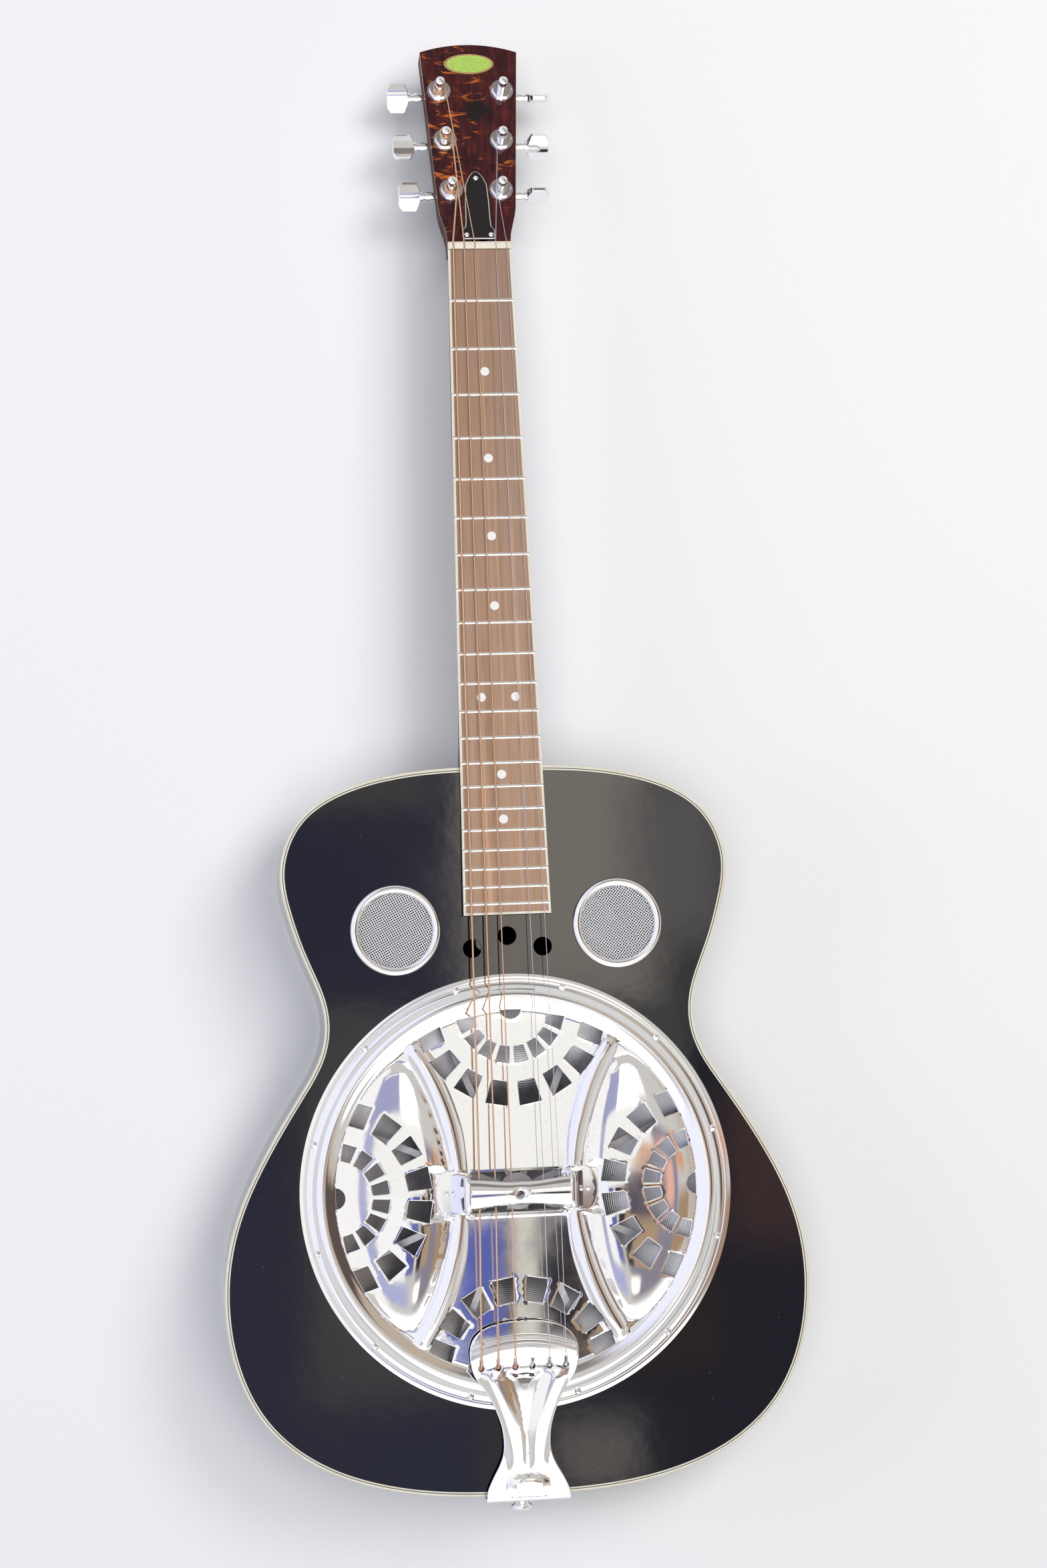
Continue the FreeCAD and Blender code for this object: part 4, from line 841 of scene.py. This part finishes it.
APRON_FOOT = 28.0           # its lower edge over the floor
APRON_ROUND = 6.0
APRON_BEND = ((2.8, 0.2), (1.4, 0.6), (0.4, 1.6), (0.0, 3.2))    # rolled corner: in from the end, down


def catmull(points, per, closed=False):
    """Smooth curve through the points, with so many steps between two of them."""
    pts = [np.array(p, float) for p in points]
    n = len(pts)
    out = []
    for i in range(n if closed else n - 1):
        p0 = pts[(i - 1) % n] if closed or i > 0 else 2 * pts[0] - pts[1]
        p1 = pts[i]
        p2 = pts[(i + 1) % n]
        p3 = pts[(i + 2) % n] if closed or i + 2 < n else 2 * pts[-1] - pts[-2]
        for k in range(per):
            t = k / per
            out.append(tuple(0.5 * (2 * p1 + (p2 - p0) * t + (2 * p0 - 5 * p1 + 4 * p2 - p3) * t * t
                                    + (3 * p1 - p0 - 3 * p2 + p3) * t ** 3)))
    if not closed:
        out.append(tuple(pts[-1]))
    return out


def tail_base(y):
    """Height of the tailpiece without its steps: it sinks towards the bend."""
    run = np.clip((-85 - y) / 116.0, 0, 1)
    return TOP_Z + 10.0 - 4.6 * run * run


def arm(y):
    """Middle and half width of the treble arm."""
    spread = np.clip((y + 172.0) / 52.0, 0, 1)
    return 7.0 + 13.5 * spread ** 1.6, 8.4 + 3.2 * spread


def tail_height(x, y):
    """Stepped crown, two barrel arms with a valley between them and a cushion at the bend."""
    z = tail_base(y)
    ax = np.abs(x)
    q = y + x * x / CROWN_BEND
    crown = smooth((y + 114.0) / 4.0)
    z = z + crown * (0.9 * smooth((-92.6 - q) / 1.5) + 0.7 * smooth((-96.2 - q) / 1.4)
                     - 0.9 * smooth((-101.0 - q) / 7.0) - 1.0 * smooth((-108.0 - q) / 3.0))
    arms = smooth((-113.5 - y) / 9.0) * smooth((y + 188.0) / 16.0)
    centre, width = arm(y)
    ratio = np.clip(np.abs(ax - centre) / width, 0, 1)
    z = z + arms * (1.0 * (1 - ratio ** 2.0) ** 1.5 - 0.4)
    pad = 1 - (ax / 15.5) ** 2.4 - (np.abs(y + 191.0) / 8.5) ** 2.4
    z = z + 1.5 * smooth(pad)
    return z - 3.0 * smooth((-197.4 - y) / 2.2) ** 2


def tail_guides():
    """Points along the steps of the crown and down the two arms."""
    points = []
    for q in CROWN_ROWS:
        points += [(x, q - x * x / CROWN_BEND) for x in np.linspace(-35, 35, 42)]
    for y in np.linspace(-116, -197, 55):
        centre, width = arm(y)
        for share in (-1, -0.75, -0.45, -0.15, 0.15, 0.45, 0.75, 1):
            x = float(centre + share * width)
            points += [(-x, y), (x, y)]
    return points


def key_hole(x):
    """Round hole for a string's ball end, with a slot towards the bridge."""
    arc = [(x + 2.0 * math.sin(a), HOOK_Y - 2.0 * math.cos(a)) for a in np.linspace(-2.7, 2.7, 14)]
    return arc + [(x + 0.75, HOOK_Y + 5.4), (x - 0.75, HOOK_Y + 5.4)]


def tail_apron():
    """Bent end of the tailpiece: a rolled corner over an upright plate with rounded lower corners."""
    z_top = TOP_Z + 5.4
    low = APRON_FOOT + APRON_ROUND
    inner = APRON_HALF - APRON_ROUND
    quarter = [(APRON_ROUND * math.cos(a), APRON_ROUND * math.sin(a)) for a in np.linspace(0, 1.57, 8)]
    outline = [(-APRON_HALF, z_top - 3.2), (-APRON_HALF, low)]
    outline += [(-inner - c, low - s) for c, s in quarter]
    outline += [(inner + s, low - c) for c, s in quarter]
    outline += [(APRON_HALF, z_top - 3.2)]
    n = len(outline)
    plate = [(x, y, z) for y in (TAIL_END_Y, TAIL_END_Y + 2.1) for x, z in outline]
    plate_faces = [tuple(range(n)), tuple(range(2 * n - 1, n - 1, -1))]
    plate_faces += [(i, i + n, (i + 1) % n + n, (i + 1) % n) for i in range(n)]
    corner = [(x, TAIL_END_Y + inward, z_top - drop) for inward, drop in APRON_BEND
              for x in (-APRON_HALF, APRON_HALF)]
    corner_faces = [(2 * i, 2 * i + 1, 2 * i + 3, 2 * i + 2) for i in range(len(APRON_BEND) - 1)]
    verts, faces = merge([(plate, plate_faces), (corner, corner_faces)])
    apron = add_object("tailpiece_apron", verts, faces, CHROME, smooth_angle=50)
    weld(apron, 50)
    edge = apron.modifiers.new("edge", "BEVEL")
    edge.width = 0.0005
    edge.segments = 2
    edge.limit_method = "ANGLE"
    return apron


def tailpiece():
    """Stamped plate with a V-shaped cut and six key-holes, and its bent end."""
    right = catmull(TAIL_HALF, 6)
    loop = right + [(-x, y) for x, y in reversed(right[1:])]
    holes = [TAIL_CUT] + [key_hole(x) for x in TAIL_SLOTS]
    plate = pressed_sheet("tailpiece_plate", loop, holes, tail_height, 1.6, 1.7, CHROME, 0.6, tail_guides())
    for piece in (plate, tail_apron()):
        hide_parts("tailpiece")


tailpiece()


# --- sound holes
SCREENS = ((-74.1, 174.0, 28.0), (74.1, 174.0, 52.0))    # centre, and how the cloth is turned
RING_R = 27.3               # centre line of a screen's chrome ring
CLOTH_R = 26.3


def woven(cx, cy, radius, degrees, pitch=1.5, wire=0.35):
    """Plain-woven wire cloth cut to a disc: every wire is a wavy tube."""
    c = math.cos(math.radians(degrees))
    s = math.sin(math.radians(degrees))
    parts = []
    count = int(radius / pitch)
    per = 8
    for direction in (0, 1):
        for k in range(-count, count + 1):
            off = (k + 0.5) * pitch
            if abs(off) >= radius - 0.2:
                continue
            reach = math.sqrt(radius ** 2 - off ** 2)
            n = max(4, int(2 * reach / pitch * per / 2))
            t = np.linspace(-reach, reach, n)
            phase = math.pi * (t / pitch - 0.5) + math.pi * (k + direction)
            z = TOP_Z - 1.4 + 0.8 * wire * np.sin(phase)
            a, b = (t, np.full(n, off)) if direction == 0 else (np.full(n, off), t)
            pts = np.stack([cx + a * c - b * s, cy + a * s + b * c, z], 1)
            parts.append(tube(pts, wire, 5))
    return merge(parts)


def screen(side, cx, cy, turned):
    """Rounded chrome ring with the wire cloth inside it."""
    profile = []
    for a in np.linspace(-0.25, math.pi + 0.15, 22):
        profile.append((RING_R + 2.75 * math.cos(a), TOP_Z + 0.15 + 2.2 * math.sin(a)))
    profile += [(RING_R - 2.75, TOP_Z - 2.0), (RING_R - 0.6, TOP_Z - 2.0), (RING_R - 0.6, TOP_Z - 0.1)]
    ring = add_object("screen_ring_" + side, *lathe(profile, (cx, cy), 128), CHROME, smooth_angle=45)
    weld(ring, 45)
    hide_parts("sound_hole_rings")
    cloth = add_object("screen_mesh_" + side, *woven(cx, cy, CLOTH_R, turned), MATS["mesh"],
                       smooth_angle=None)
    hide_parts("sound_hole_screens")


screen("bass", *SCREENS[0])
screen("treble", *SCREENS[1])


# --- body binding
def outer_loop(node, z):
    """Ordered outer edge of a CAD plate at a height, without the edges of its openings."""
    points = np.array([v.co for v in nodes[node].data.vertices]) / MM
    points = points[np.abs(points[:, 2] - z) < 0.05][:, :2]
    keep = np.hypot(points[:, 0], points[:, 1]) > COVER_R + 0.7
    for cx, cy, _ in SCREENS:
        keep &= np.hypot(points[:, 0] - cx, points[:, 1] - cy) > 30
    small_holes = (np.abs(points[:, 0]) < 40) & (points[:, 1] > 140) & (points[:, 1] < 190)
    points = points[keep & ~small_holes]
    angle = np.arctan2(points[:, 1] - 40, points[:, 0])
    points = points[np.argsort(angle)]
    step = np.linalg.norm(points - np.roll(points, 1, 0), axis=1)
    return points[step > 0.05]


def smooth_loop(p, count):
    """Even resampling of a closed loop by cubic interpolation along its length."""
    dense = np.array(catmull(p, 6, True))
    d = np.linalg.norm(np.roll(dense, -1, 0) - dense, axis=1)
    s = np.concatenate([[0], np.cumsum(d)])
    t = np.linspace(0, s[-1], count, endpoint=False)
    closed = np.vstack([dense, dense[:1]])
    return np.stack([np.interp(t, s, closed[:, 0]), np.interp(t, s, closed[:, 1])], 1)


def sweep(loop, profile, name, mat):
    """Closed profile of (outward, z) swept round a closed loop as a strip of binding."""
    verts = [(x + nx * d, y + ny * d, z) for (x, y), (nx, ny) in zip(loop, outward(loop)) for d, z in profile]
    strip = add_object(name, verts, skin(len(loop), len(profile), True), mat, smooth_angle=None)
    weld(strip, 50)
    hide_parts("body_binding")


BINDING = 3.3               # width of the binding; it is as high as the plate is thick
LINE_IN = 0.9               # the dark line lies between these two
LINE_OUT = 1.45
BINDING_ROUND = 1.1


def binding(node, z_face, up):
    """Inner strip, dark line and rounded outer strip along the edge of a plate."""
    tag = node[5:]
    z_in = z_face - up * 3.0
    loop = smooth_loop(outer_loop(node, z_face), 420)
    if signed_area(loop) < 0:
        loop = loop[::-1]
    arc = []
    for a in np.linspace(0, 1.5708, 6):
        arc.append((BINDING - BINDING_ROUND + BINDING_ROUND * math.sin(a),
                    z_face - up * (BINDING_ROUND - BINDING_ROUND * math.cos(a))))
    inner = [(0.0, z_in), (0.0, z_face), (LINE_IN, z_face), (LINE_IN, z_in)]
    line = [(LINE_IN, z_in), (LINE_IN, z_face), (LINE_OUT, z_face), (LINE_OUT, z_in)]
    outer = [(LINE_OUT, z_in), (LINE_OUT, z_face)] + arc + [(BINDING, z_in)]
    sweep(loop, inner[::up], "binding_inner_" + tag, MATS["binding"])
    sweep(loop, line[::up], "binding_line_" + tag, MATS["line"])
    sweep(loop, outer[::up], "binding_outer_" + tag, MATS["binding"])


binding("body_top", TOP_Z, 1)
binding("body_back", 0.0, -1)


# --- headstock badge
BADGE_ALONG = 135
BADGE_HALF = 17.3
# Share of the width, half height and height over the face: four rings of gilt rim, then the enamel.
BADGE_RINGS = ((1.0, 7.6, 0.0), (1.0, 7.6, 0.75), (0.975, 7.3, 0.9), (0.93, 6.76, 0.88), (0.90, 6.4, 0.66),
               (0.6, 64 / 15, 0.78), (0.3, 32 / 15, 0.84))


def badge():
    """Oval enamel badge with a raised gilt rim."""
    n = 72
    angles = [2 * math.pi * i / n for i in range(n)]
    verts = []
    for share, half, height in BADGE_RINGS:
        half_x = BADGE_HALF * share
        verts += [head_point(half_x * math.cos(a), BADGE_ALONG + half * math.sin(a), height) for a in angles]
    faces = skin(len(BADGE_RINGS), n) + [tuple(range(len(verts) - n, len(verts)))]
    oval = add_object("badge_oval", verts, faces, MATS["gilt"], smooth_angle=35)
    oval.data.materials.append(MATS["enamel"])
    oval.data.polygons.foreach_set("material_index", [0 if i < 4 * n else 1 for i in range(len(faces))])
    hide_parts("headstock_badge")


badge()


# --- string turns
POST_FIRST = (17.2, 38.7)   # first post: to the side and along the headstock
POST_PITCH = 37.9
POST_LEAN = 0.0605          # the post rows run parallel to the headstock edges
POST_R = 3.02
# String, side, row of its post, string radius, turns, height of the first turn.
TURNS = (("6_low_e", -1, 0, 0.66, 1, 3.0), ("5_a", -1, 1, 0.53, 3, 7.2), ("4_d", -1, 2, 0.42, 3, 3.0),
         ("2_b", 1, 1, 0.24, 5, 7.2), ("1_high_e", 1, 0, 0.2, 5, 3.0))


def string_turns(string, side, row, radius, count, low):
    """Turns of a string round its post."""
    x = side * (POST_FIRST[0] + POST_LEAN * POST_PITCH * row)
    along = POST_FIRST[1] + POST_PITCH * row
    total = count + 0.35
    first = low + radius
    t = np.linspace(0, 2 * math.pi * total, 40 * count + 20)
    rise = t / (2 * math.pi) * radius * 1.9 * count / total
    height = np.minimum(first + rise, first + (count - 1) * 1.9 * radius + 0.15)
    reach = POST_R + radius
    points = [head_point(x + reach * math.cos(side * a), along + reach * math.sin(side * a), h)
              for a, h in zip(t, height)]
    plain = radius < 0.3
    coil = add_object("coil_" + string, *tube(points, radius, 10), MATS["plain" if plain else "bronze"],
                      "post_k%d" % (row + (4 if side > 0 else 1)), None)
    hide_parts("winding_" + string)


for turns in TURNS:
    string_turns(*turns)


# --- studio
def place(name, data, location):
    o = bpy.data.objects.new(name, data)
    o.location = location
    bpy.context.scene.collection.objects.link(o)
    return o


def paper_floor():
    """Plain pale floor, just under the back of the body."""
    mesh = bpy.data.meshes.new("floor")
    mesh.from_pydata([(-8, -8, 0), (8, -8, 0), (8, 8, 0), (-8, 8, 0)], [], [(0, 1, 2, 3)])
    paper = Shader("paper_floor", (0.9, 0.9, 0.905), 0.75)
    paper.bump(paper.noise(300, 3), 0.05, 0.0002)
    mesh.materials.append(paper.mat)
    place("floor", mesh, (0, 0, -0.0006))


BASE = (0.76, 0.755, 0.75)
# x0, x1, y0, y1, softness, radiance: later cards cover earlier ones
CARDS = [
    (-6.0, 6.0, -6.0, 6.0, 2.0, (0.66, 0.64, 0.60)),  # room above the guitar
    (-7.0, -0.75, -1.6, 4.0, 0.5, (0.98, 1.0, 1.3)),  # pale daylight on the bass side
    (0.55, 6.0, -0.35, 2.2, 0.3, (0.56, 0.46, 0.37)),  # warm wall on the treble side
    (0.8, 2.0, -0.2, 0.7, 0.15, (0.12, 0.09, 0.08)),
    (-1.4, 1.4, -7.0, -0.62, 0.12, (1.7, 1.68, 1.72)),  # bright wall beyond the tail
    (-0.34, 0.55, -0.8, -0.25, 0.04, (1.6, 1.58, 1.62)),
    (-0.80, -0.19, -0.26, 0.5, 0.06, (1.05, 1.03, 1.0)),  # white patch beside the bass edge
    (0.13, 0.52, -0.20, -0.02, 0.04, (0.42, 0.28, 0.17)),  # brown cloth
    (0.24, 0.42, 0.03, 0.10, 0.03, (0.75, 0.38, 0.22)),
    (0.19, 0.27, -0.09, 0.02, 0.02, (0.55, 0.6, 0.95)),
    (-0.6, 0.6, 1.15, 2.2, 0.25, (0.26, 0.23, 0.22)),  # dark end of the room over the headstock
    (-0.22, -0.02, 0.11, 0.33, 0.03, (0.40, 0.40, 0.62)),  # dim over the bass shoulder
    (-0.19, -0.05, 0.255, 0.30, 0.012, (1.0, 0.95, 0.85)),
    (-0.205, -0.145, -0.20, 0.11, 0.02, (0.46, 0.47, 0.72)), # blue over the bass bout
    (-0.16, -0.03, -0.205, -0.138, 0.02, (0.46, 0.47, 0.74)),
    (-0.03, 0.10, 0.10, 0.32, 0.02, (3.6, 3.3, 2.8)),  # bright patch over the treble shoulder
    (0.085, 0.15, 0.16, 0.27, 0.035, (1.9, 1.8, 1.7)),
    (0.02, 0.26, -0.215, 0.09, 0.03, (0.27, 0.25, 0.30)),  # dark over the treble bout
    (0.14, 0.21, -0.04, 0.06, 0.03, (0.9, 0.5, 0.4)),
    (0.02, 0.075, -0.195, -0.15, 0.02, (2.2, 2.0, 1.8)),
    (-0.135, 0.118, 0.0, 0.125, 0.012, (1.02, 1.0, 0.95)), # cream over the upper half of the cover
    (-0.135, -0.045, -0.13, 0.005, 0.015, (1.05, 1.04, 1.02)),
    (-0.048, -0.009, -0.118, -0.018, 0.004, (0.11, 0.14, 0.46)),
    (-0.010, -0.003, -0.118, -0.018, 0.003, (0.10, 0.085, 0.09)),
    (-0.004, 0.014, -0.118, -0.018, 0.004, (0.76, 0.72, 0.62)),
    (0.013, 0.048, -0.118, -0.018, 0.004, (0.03, 0.028, 0.035)),
    (0.048, 0.13, -0.12, 0.0, 0.012, (0.46, 0.32, 0.20)),
    (0.06, 0.12, -0.03, 0.012, 0.01, (0.10, 0.09, 0.12)),
    (0.075, 0.13, 0.012, 0.045, 0.01, (0.72, 0.42, 0.27)),
]


def sky():
    """Soft-edged cards on a level plane at the camera's height: they give reflections, but no diffuse light."""
    world = bpy.data.worlds.new("studio")
    bpy.context.scene.world = world
    world.use_nodes = True
    world.node_tree.nodes.clear()
    world.cycles_visibility.diffuse = False
    g = Graph(world.node_tree)
    direction = g.node("ShaderNodeTexCoord").outputs["Generated"]
    up = g.math("MAXIMUM", g.axis("Z", direction), 0.02)
    rise = EYE[2] - TOP_Z * MM
    spots = []
    for name, start in zip("XY", EYE):
        slant = g.math("DIVIDE", g.axis(name, direction), up)
        spots.append(g.math("ADD", g.math("MULTIPLY", slant, rise), start))

    def within(value, lo, hi, edge):
        """One between the limits, falling to zero over the edge."""
        a = g.math("MULTIPLY", g.math("SUBTRACT", value, lo - edge / 2), 1 / edge, clamp=True)
        b = g.math("MULTIPLY", g.math("SUBTRACT", hi + edge / 2, value), 1 / edge, clamp=True)
        return g.math("MULTIPLY", a, b)

    colour = BASE
    for x0, x1, y0, y1, edge, radiance in CARDS:
        share = g.math("MULTIPLY", within(spots[0], x0, x1, edge), within(spots[1], y0, y1, edge))
        colour = g.mix(share, colour, radiance)
    back = g.node("ShaderNodeBackground", {"Color": colour, "Strength": 1.0})
    g.node("ShaderNodeOutputWorld", {"Surface": back.outputs[0]})


def disk_light(name, location, target, size, watts, colour):
    """Round area light that lights the parts but does not show in the mirrors."""
    light = bpy.data.lights.new(name, "AREA")
    light.shape = "DISK"
    light.size = size
    light.energy = watts
    light.color = colour
    o = place(name, light, location)
    o.rotation_mode = "QUATERNION"
    o.rotation_quaternion = (Vector(target) - Vector(location)).to_track_quat("-Z", "Y")
    o.visible_glossy = False


def ceiling_light():
    """Very soft light from straight above, even over the whole floor."""
    light = bpy.data.lights.new("ceiling", "SUN")
    light.energy = 1.95
    light.angle = math.radians(52)
    place("ceiling", light, (0, 0, 3)).visible_glossy = False


paper_floor()
sky()
disk_light("key", (1.2, 1.1, 2.3), (0, 0.25, 0), 1.3, 26, (1.0, 0.985, 0.965))
ceiling_light()
disk_light("bass_side", (-2.0, 0.2, 1.2), (0, 0.2, 0), 1.2, 11, (0.6, 0.66, 1.0))


# --- camera
def camera():
    """Looks down on the top from a little to the bass side, with the neck upwards."""
    lens = bpy.data.cameras.new("camera")
    lens.sensor_width = 36.0
    lens.lens = 64.87
    eye = place("camera", lens, (0, 0, 0))
    look = Vector((0.1097, 0.0776, -0.9909)).normalized()
    upward = Vector((0.0295, 0.9963, 0.0813))
    across = look.cross(upward).normalized()
    upward = across.cross(look).normalized()
    turned = Matrix((across, upward, -look)).transposed().to_4x4()
    eye.matrix_world = Matrix.Translation(EYE) @ turned
    bpy.context.scene.camera = eye


camera()
bpy.context.scene.view_settings.view_transform = "Standard"
